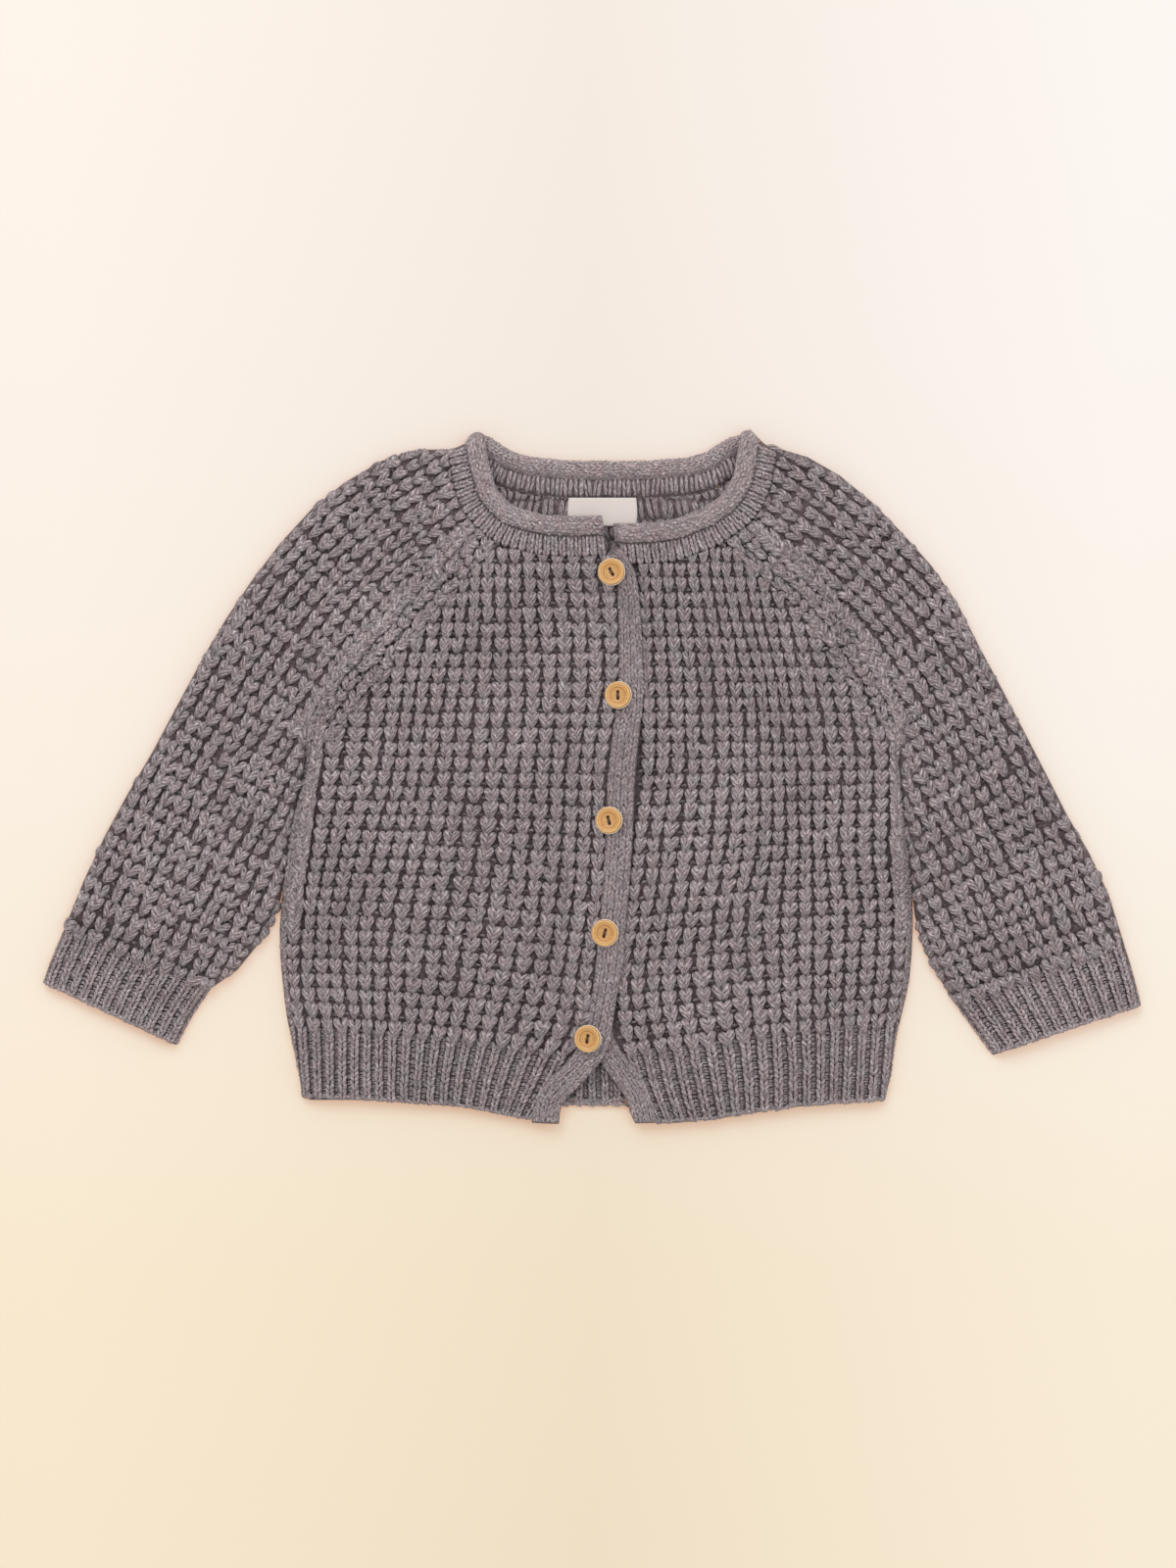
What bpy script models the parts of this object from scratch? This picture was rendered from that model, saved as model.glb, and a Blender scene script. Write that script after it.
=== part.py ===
"""Baby cardigan, chunky knit, laid flat and face up with its front buttoned.

+Z is up, +Y runs from the hem to the neck, and +X is the wearer's left. The table that it lies on is z = 0.
All tables and sizes are in millimetres; make_object() turns them into metres.
Every knitted panel is a wall with an outer and an inner skin, seamed to its neighbours with a narrow gap.
"""

import math

import bmesh
import bpy
import numpy as np

MM = 0.001

# Gaps between pieces
SEAM = 0.85             # where panels are seamed side by side
BACK_NECK_GAP = 1.1
SLEEVE_NECK_GAP = 1.4
CLEAR = 0.3             # between parts that lie on each other

# Walls: chunky half-fisherman knit, with ribbed hems and cuffs. Grooves run between the knit columns and ribs
BODY_WALL = 3.4
BACK_WALL = 3.2
RIB_WALL = 2.8
BODY_GROOVE = 1.1
BACK_GROOVE = 0.8
RIB_GROOVE = 0.9
FRONT_COLUMNS = 19
BACK_COLUMNS = 20
SLEEVE_COLUMNS = 11
SLEEVE_PITCH = 6.6      # width of a sleeve's column near the outer fold
CUFF_RIBS = 12
HEM_RIBS = {"right": 20, "left": 20, "back": 46}
COLUMN_LEAN = 0.30      # columns beside the raglan lean towards the neck, by this share of their height
PLACKET_BEND = 2.5      # how closely the columns near the placket follow its bends
COLUMN_CROWDING = 1.5   # the most that a sleeve's columns crowd together at its inner edge

# Sections along each piece
FRONT_ROWS = np.array([0.0, 0.02, 0.05, 0.09, 0.15, 0.23, 0.33, 0.44, 0.56, 0.68, 0.8, 0.9, 0.965, 1.0])
HEM_ROWS = np.linspace(0.0, 1.0, 5)
BACK_STEPS = 8
SLEEVE_SECTIONS = 15
CUFF_SECTIONS = 4
UNDERSIDE_STEPS = 4     # across a sleeve's underside
FOLD_STEPS = 2          # round its outer fold
SEAM_SAMPLES = 60       # points read from a smooth seam curve
PLACKET_SAMPLES = 160
NECK_SAMPLES = 1200
SETTLE_STEPS = 14       # passes that find where a leaning column meets the panel's end

# Heights of the layers as they lie
FRONT_BED = 3.75        # underside of the front, over the back
HEM_BED = 3.5
SLEEVE_HEIGHT = 7.4     # outside of a flattened sleeve
CUFF_HEIGHT = 6.2
SLEEVE_SWELL = 0.8      # how much a sleeve's top rises along its middle
CUFF_SWELL = 0.4
EDGE_RADIUS = 6.5       # how far in from a side seam the front starts to turn down
RIB_EDGE_RADIUS = 5.5
EDGE_STEPS = 2          # steps of the inner skin round a turned edge
OVERLAP_LIFT = 3.9      # how much the buttonhole side is lifted by the button side under it
LIFT_RAMP = 16.0        # distance over which it rises
LIFT_EDGE = 1.0         # how far in from the under placket's open edge it is fully lifted
LIFT_TOP = {"y": 118.0, "fade": 18.0}
HEMS_PART = {"y": -152.0, "fade": 17.0}
FOLD_FADE = 12.0        # hollows and ridges fade out this near a seam
LEFT_FOLDS_FROM = 24.0  # x beyond which the left front, clear of the overlap, has them
TURN_FADE = 20.0        # the side edge flattens over this height below the underarm

# Neckband, whose free edge rolls outward
BAND_WIDTH = 8.2
BAND_WALL = 2.4
BAND_RIB_PITCH = 3.7
BAND_GROOVE = 0.7
NECK_SIZE = 17.5        # band and roll together
ROLL_WIDTH = 8.2
ROLL_HEIGHT = 6.0
ROLL_WALL = 2.0
ROLL_TURN = 188         # how far the edge curls round, in degrees above the table
ROLL_STEPS = 8
BACK_ROLL_SHARE = 0.8   # how wide the roll is at the back of the neck, as a share of the front
FOLD_ROLL_SHARE = 0.75  # how high it is where the shoulder folds flatten it

# Trims
PLACKET_WALL = 3.6
BUTTON_SIDES = 16
BUTTON_HOLE_RADIUS = 0.85
BUTTON_HOLE_OFFSET = 1.45
HOLE_SIDES = 8
HOLE_DEPTH = 12.0
LABEL = {"x": 4.9, "y": 124.2, "width": 31.7, "height": 13.4, "thick": 0.4}
SHARP_ANGLE = 25        # edges sharper than this many degrees are drawn sharp

# Side seams of the body: y, x of the right side, x of the left side
BODY_SIDES = np.array([
    (-151.5, -135.6, 137.2),
    (-141.2, -136.6, 139.4),
    (-132.0, -138.5, 140.8),
    (-122.8, -140.3, 142.1),
    (-113.6, -142.1, 144.0),
    (-95.2, -144.4, 148.1),
    (-76.8, -145.8, 149.5),
    (-58.4, -144.8, 149.8),
    (-30.8, -142.1, 147.7),
    (-3.2, -135.7, 144.4),
    (24.0, -130.2, 141.7),
])
UNDERARM_Y = 24.0
CHEST_Y = -60.0         # where the panels' widths are measured

# Plackets, from hem to neck: x and y of the edge next to the front panel, then x and y of the open edge
PLACKET_RIGHT = np.array([
    (-27.8, -161.4, -15.8, -161.9),
    (-26.9, -155.5, -15.3, -155.6),
    (-24.9, -149.0, -12.7, -150.3),
    (-19.7, -141.0, -5.6, -143.4),
    (-11.2, -133.3, 2.5, -134.3),
    (-5.6, -124.8, 7.8, -125.0),
    (-1.2, -110.0, 10.0, -110.0),
    (2.0, -88.0, 13.7, -88.0),
    (4.4, -58.0, 16.4, -58.0),
    (6.5, -30.0, 18.5, -30.0),
    (7.4, -4.0, 19.4, -4.0),
    (9.6, 18.0, 21.4, 18.0),
    (12.3, 40.0, 23.7, 40.0),
    (12.8, 62.0, 23.1, 62.0),
    (12.3, 84.0, 21.6, 84.0),
    (11.3, 92.5, 20.4, 93.0),
    (9.6, 97.6, 18.2, 99.0),
    (8.2, 101.2, 14.6, 104.4),
    (7.3, 103.6, 10.4, 107.8),
])
PLACKET_SECTIONS = {"right": 30, "left": 22}
PLACKET_LEFT = np.array([
    (29.3, -161.4, 20.6, -161.6),
    (28.9, -156.0, 18.6, -157.2),
    (26.8, -148.7, 16.4, -150.6),
    (22.6, -140.8, 11.2, -142.6),
    (16.6, -132.4, 4.9, -134.0),
    (11.0, -124.0, -0.6, -124.6),
    (8.4, -113.0, -3.0, -113.0),
    (8.3, -92.0, -3.2, -92.0),
    (9.8, -60.0, -1.6, -60.0),
    (12.4, -10.0, 1.0, -10.0),
    (14.8, 42.0, 3.4, 42.0),
    (16.0, 76.0, 4.6, 76.0),
    (18.4, 99.6, 7.4, 99.6),
])

# Seam between body and hem, and hem edge: x, y
HEM_SEAM = np.array([
    (-140.0, -119.4), (-115.0, -120.1), (-89.2, -121.6), (-58.9, -125.1), (-33.1, -128.3), (-16.0, -130.6),
    (0.0, -132.0), (21.2, -130.6), (49.2, -127.4), (83.3, -122.6), (117.3, -119.1), (143.0, -116.8),
])
HEM_EDGE = np.array([
    (-135.0, -149.6), (-98.0, -151.3), (-58.9, -154.1), (-31.3, -159.6), (-16.1, -162.0),
    (25.8, -161.8), (39.6, -161.5), (58.0, -159.6), (93.4, -154.1), (138.0, -150.9),
])
BACK_HEM_SEAM_Y = -121.0
BACK_HEM_EDGE_Y = -151.0

# Sleeves laid flat, from the cuff seam to the neck: outer fold x, y, then inner edge x, y
SLEEVE_RIGHT = np.array([
    (-246.6, -70.8, -179.5, -99.2),
    (-233.7, -40.0, -161.9, -85.4),
    (-219.4, -12.4, -147.7, -61.2),
    (-203.3, 15.2, -142.9, -34.5),
    (-186.8, 46.5, -137.4, -6.9),
    (-171.1, 73.6, -130.8, 24.0),
    (-153.6, 98.9, -115.0, 46.5),
    (-134.3, 121.9, -96.6, 67.6),
    (-112.2, 139.8, -79.1, 88.8),
    (-88.3, 151.6, -64.4, 104.4),
    (-67.9, 154.4, -53.0, 117.7),
])
SLEEVE_LEFT = np.array([
    (248.4, -76.8, 169.3, -103.5),
    (238.3, -46.9, 158.7, -86.0),
    (224.0, -21.6, 152.6, -68.5),
    (209.8, 6.0, 149.2, -40.0),
    (195.5, 33.6, 145.6, -8.7),
    (180.8, 61.2, 142.3, 24.0),
    (166.1, 88.8, 132.9, 43.7),
    (147.7, 110.9, 121.4, 64.4),
    (127.9, 131.1, 106.7, 84.2),
    (106.7, 146.7, 88.8, 100.7),
    (86.0, 153.2, 71.8, 117.4),
])
UNDERARM_STATION = 5
SLEEVES = {"right": SLEEVE_RIGHT, "left": SLEEVE_LEFT}

# Cuffs, from the sleeve to the hand: outer fold x, y, then inner edge x, y
CUFF_RIGHT = np.array([
    (-246.8, -71.4, -179.8, -99.8),
    (-252.0, -83.6, -187.8, -111.6),
    (-256.7, -96.1, -195.0, -125.1),
])
CUFF_LEFT = np.array([
    (248.6, -77.4, 169.5, -104.1),
    (253.0, -92.0, 178.6, -116.8),
    (256.7, -106.7, 188.1, -129.7),
])
CUFFS = {"right": CUFF_RIGHT, "left": CUFF_LEFT}

# Neckband, from the right front round the back to the left front. Each row is one section:
# x and y of its seam, the compass angle that its width runs along, how far that is tipped up, the height of
# its inner skin at the seam, and how far its outer skin has turned over (0 faces up, 180 faces down)
NECK = np.array([
    (6.5, 104.6, 97, 2, 4.3, 0),
    (-6.4, 104.1, 93, 2, 4.3, 0),
    (-21.6, 104.7, 88, 3, 4.3, 0),
    (-33.1, 107.0, 77, 3, 4.3, 0),
    (-42.3, 110.1, 64, 4, 4.3, 0),
    (-49.2, 113.9, 54, 5, 4.3, 0),
    (-55.2, 120.1, 42, 6, 4.3, 0),
    (-60.3, 127.1, 28, 8, 4.3, 0),
    (-63.2, 137.1, 18, 12, 4.3, 0),
    (-65.4, 147.2, 14, 14, 4.2, 10),
    (-65.6, 150.0, 20, 14, 3.9, 60),
    (-64.8, 150.6, 28, 13, 3.6, 120),
    (-62.7, 149.6, 37, 13, 3.4, 170),
    (-58.0, 146.4, 50, 13, 3.3, 180),
    (-51.0, 141.8, 62, 13, 3.3, 180),
    (-42.5, 137.0, 72, 13, 3.3, 180),
    (-31.3, 133.8, 81, 13, 3.3, 180),
    (-10.6, 131.8, 89, 13, 3.3, 180),
    (8.3, 131.6, 90, 13, 3.3, 180),
    (27.1, 131.8, 91, 13, 3.3, 180),
    (47.2, 133.4, 98, 13, 3.3, 180),
    (58.8, 136.8, 107, 13, 3.3, 180),
    (67.3, 141.6, 118, 13, 3.3, 180),
    (76.0, 146.6, 130, 13, 3.3, 180),
    (81.8, 149.6, 143, 13, 3.4, 190),
    (83.8, 151.2, 151, 13, 3.6, 240),
    (84.5, 150.5, 159, 14, 3.9, 300),
    (84.2, 147.2, 166, 14, 4.2, 350),
    (82.5, 136.2, 163, 12, 4.3, 360),
    (78.4, 127.1, 152, 8, 4.3, 360),
    (73.4, 120.1, 142, 6, 4.3, 360),
    (67.4, 115.0, 130, 5, 4.3, 360),
    (58.4, 109.5, 118, 4, 4.3, 360),
    (48.5, 105.2, 108, 3, 4.3, 360),
    (39.6, 102.6, 102, 3, 4.3, 360),
    (29.4, 101.2, 96, 2, 4.3, 360),
    (19.4, 100.8, 96, 2, 4.3, 360),
    (12.0, 101.0, 95, 2, 4.3, 360),
])
# Rows where the roll has a section: each row above, and between them at the shoulder folds
ROLL_ROWS = np.union1d(np.arange(38.0), [8.5, 9.5, 10.5, 11.5, 12.5, 23.5, 24.5, 25.5, 26.5, 27.5])
# Where the raglan seams and the shoulder folds meet the neckband, as row numbers that may fall between rows
FRONT_RAGLAN_ROW = {"right": 5.6, "left": 30.5}
BACK_RAGLAN_ROW = {"right": 14.4, "left": 21.5}
SHOULDER_ROW = {"right": 10.5, "left": 25.5}

# Soft hollows and ridges: x, y, compass angle, half length, half width, height
FOLDS = np.array([
    (-100.0, 30.0, 50, 60, 14, 0.7),
    (-60.0, -30.0, 84, 70, 22, 0.6),
    (-105.0, -75.0, 100, 50, 18, 0.5),
    (70.0, 10.0, 80, 60, 20, 0.7),
    (110.0, -60.0, 95, 55, 16, 0.5),
    (60.0, -90.0, 20, 40, 14, 0.5),
    (-150.0, 60.0, 50, 70, 13, -0.9),
    (160.0, 45.0, 128, 70, 13, -0.9),
    (-205.0, -45.0, 66, 45, 16, 0.7),
    (208.0, -45.0, 112, 45, 16, 0.7),
])

# Section of a placket: share of its width from the panel's side, and height over its underside
PLACKET_SECTION = [
    (0.0, 0.7), (0.0, 2.4), (0.12, 3.3), (0.35, PLACKET_WALL), (0.65, PLACKET_WALL), (0.88, 3.3),
    (1.0, 2.4), (1.0, 0.7), (0.92, 0.0), (0.08, 0.0),
]

# Turned shape of a button, from its underside up and round to the floor of its dish: radius, height
BUTTON_PROFILE = [(4.6, 0.0), (5.8, 0.25), (6.45, 1.0), (6.4, 1.9), (5.6, 2.7), (4.6, 2.8), (3.4, 2.1)]

# Buttons, from the neck down: x, y, tilt about x, tilt about y, angle of the two holes
BUTTONS = [
    (9.2, 95.7, 2.0, 2.0, 118),
    (12.4, 38.2, -1.5, 2.5, 92),
    (8.1, -20.2, 1.5, 2.0, 105),
    (6.2, -72.7, 2.0, -1.5, 75),
    (-1.8, -122.0, -2.0, 2.5, 80),
]

COLOURS = {
    "knit": (0.205, 0.178, 0.184, 1.0),
    "button_wood": (0.66, 0.42, 0.19, 1.0),
    "label_satin": (0.82, 0.80, 0.78, 1.0),
}
ROUGHNESS = {"knit": 0.95, "button_wood": 0.5, "label_satin": 0.45}


# Curves and heights

def through(keys, values, at):
    """Smooth curve through (keys, values), with each key's slope taken from its neighbours."""
    keys = np.asarray(keys, float)
    values = np.asarray(values, float)
    slopes = np.gradient(values, keys)
    at = np.clip(np.asarray(at, float), keys[0], keys[-1])
    i = np.clip(np.searchsorted(keys, at) - 1, 0, len(keys) - 2)
    step = keys[i + 1] - keys[i]
    t = (at - keys[i]) / step
    return (
        values[i] * (1 + 2 * t) * (1 - t) ** 2
        + values[i + 1] * t * t * (3 - 2 * t)
        + step * slopes[i] * t * (1 - t) ** 2
        - step * slopes[i + 1] * t * t * (1 - t)
    )


def ease(t):
    """0 below 0, 1 above 1, and smooth between them."""
    t = np.clip(t, 0.0, 1.0)
    return t * t * (3 - 2 * t)


def compass(degrees):
    """Unit vector in the plan, counter-clockwise from +X."""
    radians = np.radians(degrees)
    return np.stack([np.cos(radians), np.sin(radians)], -1)


def offset(curve, distance):
    """A curve in the plan moved to its left by a distance."""
    along = np.gradient(curve, axis=0)
    along /= np.linalg.norm(along, axis=1)[:, None]
    return curve + distance * np.stack([-along[:, 1], along[:, 0]], -1)


def side_x(y, side):
    return through(BODY_SIDES[:, 0], BODY_SIDES[:, 1 if side == "right" else 2], y)


def placket_rows(table, count):
    """Inner and open edges of a placket at evenly spaced row numbers, as plan points."""
    rows = np.arange(len(table))
    at = np.linspace(0, len(table) - 1, count)
    columns = [through(rows, table[:, k], at) for k in range(4)]
    return np.stack(columns[:2], -1), np.stack(columns[2:], -1)


def overlap_lift(x, y):
    """How much the buttonhole side rises at a point, to lie over the button side's placket."""
    under = np.interp(y, PLACKET_LEFT[:, 3], PLACKET_LEFT[:, 2])
    across = ease((x - under + LIFT_EDGE + LIFT_RAMP) / LIFT_RAMP)
    return OVERLAP_LIFT * across * hem_ease(y) * ease((LIFT_TOP["y"] - y) / LIFT_TOP["fade"])


def hem_ease(y):
    """The overlap's height fades out where the two hems part."""
    return ease((y - HEMS_PART["y"]) / HEMS_PART["fade"])


def fold_height(x, y):
    """Height of the soft hollows and ridges at a point."""
    total = np.zeros(np.broadcast(x, y).shape)
    for fx, fy, angle, half_length, half_width, height in FOLDS:
        ux, uy = compass(angle)
        along = ((x - fx) * ux + (y - fy) * uy) / half_length
        across = (-(x - fx) * uy + (y - fy) * ux) / half_width
        total = total + height * np.exp(-along ** 2 - across ** 2)
    return total


# The neck seam, which the fronts, sleeves, back and neckband share

def neck_at(row):
    """Seam point, width direction and outward direction of the neckband, at an array of row numbers."""
    row = np.atleast_1d(np.asarray(row, float))
    rows = np.arange(len(NECK))
    x, y, angle, tip, z, turned = (through(rows, NECK[:, k], row) for k in range(6))
    z = z + np.where(row < SHOULDER_ROW["right"], overlap_lift(x, y), 0.0)
    flat = compass(angle)
    tip = np.radians(tip)
    turned = np.radians(turned)
    along = np.stack([flat[:, 0] * np.cos(tip), flat[:, 1] * np.cos(tip), np.sin(tip)], -1)
    up = np.stack([-flat[:, 0] * np.sin(tip), -flat[:, 1] * np.sin(tip), np.cos(tip)], -1)
    outward = np.cos(turned)[:, None] * up + np.sin(turned)[:, None] * np.cross(up, along)
    return np.stack([x, y, z], -1), along, outward


def neck_edge(row, gap=SEAM):
    """Plan points of a panel's edge, a gap away from the neckband."""
    point, along, _ = neck_at(row)
    return point[:, :2] - gap * along[:, :2]


def raglan(side, stations):
    """Plan points of the front raglan seam at a sleeve's station numbers, from the underarm to the neck."""
    table = SLEEVES[side]
    keys = np.arange(UNDERARM_STATION, len(table))
    knots = table[UNDERARM_STATION:, 2:4].copy()
    knots[-1] = neck_edge(FRONT_RAGLAN_ROW[side])[0]
    return np.stack([through(keys, knots[:, k], stations) for k in (0, 1)], -1)


def front_inner_x(y, side):
    """x of a front panel's edge beside its placket."""
    table = PLACKET_RIGHT if side == "right" else PLACKET_LEFT
    inner, _ = placket_rows(table, PLACKET_SAMPLES)
    edge = offset(inner, SEAM if side == "right" else -SEAM)
    return np.interp(y, edge[:, 1], edge[:, 0])


def front_x(u, y, side):
    """x across a front, from the side seam (u = 0) to the placket (u = 1), whose bends it follows near it."""
    outer = side_x(np.minimum(y, UNDERARM_Y), side)
    lean = COLUMN_LEAN * np.maximum(y - UNDERARM_Y, 0.0) * (1 if side == "right" else -1)
    level = front_inner_x(CHEST_Y, side)
    inner = front_inner_x(y, side)
    return (outer + lean) * (1 - u) + level * u + (inner - level) * u ** PLACKET_BEND


def front_top(side):
    """Raglan and neck seams of a front, as one curve of rising x."""
    away = -1 if side == "right" else 1
    stations = np.linspace(UNDERARM_STATION, len(SLEEVES[side]) - 1, SEAM_SAMPLES)
    seam = offset(raglan(side, stations), away * SEAM / 2)
    last = 0 if side == "right" else len(NECK) - 1
    neck = neck_edge(np.linspace(FRONT_RAGLAN_ROW[side], last, SEAM_SAMPLES))
    curve = np.vstack([seam[:-1], neck[1:]])
    return curve[np.argsort(curve[:, 0])]


def height_where(curve, x):
    return np.interp(x, curve[:, 0], curve[:, 1])


# Solids

def wall_faces(outer, inner, ratio):
    """Faces of a closed wall. The outer grid has ratio times as many steps across as the inner one."""
    across, along = inner.shape[0] - 1, inner.shape[1] - 1
    fine = across * ratio
    base = (fine + 1) * (along + 1)

    def o(i, j):
        return i * (along + 1) + j

    def n(i, j):
        return base + i * (along + 1) + j

    faces = [(o(i, j), o(i + 1, j), o(i + 1, j + 1), o(i, j + 1)) for i in range(fine) for j in range(along)]
    faces += [(n(i, j), n(i, j + 1), n(i + 1, j + 1), n(i + 1, j)) for i in range(across) for j in range(along)]
    for j in range(along):
        faces.append((o(0, j), o(0, j + 1), n(0, j + 1), n(0, j)))
        faces.append((o(fine, j), n(across, j), n(across, j + 1), o(fine, j + 1)))
    for j, flip in ((0, False), (along, True)):
        for i in range(across):
            first = i * ratio
            half = first + ratio // 2
            rim = [(o(k, j), n(i, j), o(k + 1, j)) for k in range(first, half)]
            rim.append((o(half, j), n(i, j), n(i + 1, j)))
            rim += [(o(k, j), n(i + 1, j), o(k + 1, j)) for k in range(half, first + ratio)]
            faces += [f[::-1] if flip else f for f in rim]
    return faces


def make_object(name, points, faces, slot):
    """One closed solid in metres, with its faces pointing out."""
    mesh = bpy.data.meshes.new(name)
    mesh.from_pydata([tuple(p) for p in np.asarray(points) * MM], [], faces)
    work = bmesh.new()
    work.from_mesh(mesh)
    bmesh.ops.triangulate(work, faces=[f for f in work.faces if len(f.verts) > 3])
    bmesh.ops.recalc_face_normals(work, faces=work.faces)
    if work.calc_volume(signed=True) < 0:
        bmesh.ops.reverse_faces(work, faces=work.faces)
    work.to_mesh(mesh)
    work.free()
    obj = bpy.data.objects.new(name, mesh)
    bpy.context.scene.collection.objects.link(obj)
    mesh.materials.append(bpy.data.materials[slot])
    mesh.shade_smooth()
    mesh.set_sharp_from_angle(angle=math.radians(SHARP_ANGLE))
    return obj


def make_wall(name, outer, inner, ratio=1, slot="knit"):
    points = np.vstack([outer.reshape(-1, 3), inner.reshape(-1, 3)])
    return make_object(name, points, wall_faces(outer, inner, ratio), slot)


def make_rings(name, rings, slot="knit"):
    """Closed solid through rings of the same number of points, with both ends filled."""
    count = rings.shape[1]
    faces = []
    for i in range(len(rings) - 1):
        for j in range(count):
            k = (j + 1) % count
            faces.append((i * count + j, i * count + k, (i + 1) * count + k, (i + 1) * count + j))
    faces.append(tuple(range(count)))
    faces.append(tuple(range((len(rings) - 1) * count, len(rings) * count)))
    return make_object(name, rings.reshape(-1, 3), faces, slot)


# How a wall turns down at a side seam

def turn(k, height, radius, wall, share):
    """Outer and inner skins as (distance in from the edge, height), for k from 0 (flat) to 1 (at the edge).

    share is 1 where the wall turns down to the table and 0 where it stays flat.
    """
    angle = k * math.pi / 2
    flat = radius * (1 - k)
    skins = []
    for e, z, flat_z in (
        (radius * (1 - math.sin(angle)), height * math.cos(angle), height),
        (radius - (radius - wall) * math.sin(angle), (height - wall) * math.cos(angle), height - wall),
    ):
        skins.append((flat * (1 - share) + e * share, flat_z * (1 - share) + z * share))
    return skins


def seat_inset(height, radius, wall, lower):
    """How far in from the edge the top corner of the wall below has to stay, to clear the turned inner skin."""
    skins = [turn(k, height, radius, wall, 1.0)[1] for k in np.linspace(1, 0, EDGE_STEPS + 1)]
    return float(np.interp(lower + CLEAR, [z for _, z in skins], [e for e, _ in skins])) + CLEAR


# Fronts and their hems

def front_skins(side, bottom, top, columns, fractions, bed, wall, radius, groove, share_at):
    """Outer and inner skins of a front panel or its hem, between two curves of x and y."""
    sign = 1 if side == "right" else -1
    edge = radius / abs(front_inner_x(CHEST_Y, side) - side_x(CHEST_Y, side))
    coarse = np.concatenate([np.linspace(0, edge, EDGE_STEPS + 1)[:-1], np.linspace(edge, 1, columns + 1)])
    fine = np.sort(np.concatenate([coarse, (coarse[1:] + coarse[:-1]) / 2]))

    def column(u, grooved, inner_skin):
        low = high = 0.0
        for _ in range(SETTLE_STEPS):
            low = height_where(bottom, front_x(u, low, side))
            high = 0.5 * high + 0.5 * height_where(top, front_x(u, high, side))
        y = low + (high - low) * fractions
        x = front_x(u, y, side)
        folds = fold_height(x, y) * ease((y - low) / FOLD_FADE) * ease((high - y) / FOLD_FADE)
        if side == "right":
            height = bed + wall + folds + overlap_lift(x, y)
        else:
            height = bed + wall + folds * ease((x - LEFT_FOLDS_FROM) / FOLD_FADE)
        if u < edge:
            skins = turn(1 - u / edge, height, radius, wall, share_at(y))
            inward, z = skins[1] if inner_skin else skins[0]
            return np.stack([front_x(0.0, y, side) + sign * inward, y, z], -1)
        z = height - wall if inner_skin else height - (groove if grooved else 0.0)
        return np.stack([x, y, z], -1)

    ridges = np.arange(len(fine)) - 2 * EDGE_STEPS
    outer = np.array([column(u, k % 2 == 1 and k > 0, False) for u, k in zip(fine, ridges)])
    inner = np.array([column(u, False, True) for u in coarse])
    return outer, inner


def turned_share(y):
    """The side edge is turned down below the underarm and flat where it reaches the raglan seam."""
    return ease((UNDERARM_Y - y) / TURN_FADE)


def make_fronts():
    hem_top = offset(HEM_SEAM, SEAM)
    for side in ("right", "left"):
        outer, inner = front_skins(
            side, hem_top, front_top(side), FRONT_COLUMNS, FRONT_ROWS, FRONT_BED, BODY_WALL, EDGE_RADIUS,
            BODY_GROOVE, turned_share,
        )
        make_wall(f"front_{side}", outer, inner, 2)
        outer, inner = front_skins(
            side, HEM_EDGE, HEM_SEAM, HEM_RIBS[side], HEM_ROWS, HEM_BED, RIB_WALL, RIB_EDGE_RADIUS, RIB_GROOVE,
            np.ones_like,
        )
        make_wall(f"hem_front_{side}", outer, inner, 2)


# Plackets

def make_placket(name, table, count, lift):
    """A smooth strip along a front edge, from hem to neck, with rounded edges."""
    inner, edge = placket_rows(table, count)
    middle = (inner + edge) / 2
    bed = FRONT_BED + lift * hem_ease(middle[:, 1])
    rings = np.zeros((count, len(PLACKET_SECTION), 3))
    for k, (across, height) in enumerate(PLACKET_SECTION):
        rings[:, k, :2] = inner + (edge - inner) * across
        rings[:, k, 2] = bed + height
    make_rings(name, rings)


# Back

def back_top(right_margin, left_margin):
    """Raglan and neck seams of the back, as one curve of x and y."""
    rows = np.linspace(BACK_RAGLAN_ROW["right"], BACK_RAGLAN_ROW["left"], SEAM_SAMPLES)
    neck = neck_edge(rows, BACK_NECK_GAP)
    right = np.array([side_x(UNDERARM_Y, "right"), UNDERARM_Y])
    left = np.array([side_x(UNDERARM_Y, "left"), UNDERARM_Y])
    return np.vstack([
        offset(np.array([right, neck[0]]), -right_margin),
        neck[2:-2],
        offset(np.array([neck[-1], left]), -left_margin),
    ])


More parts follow.
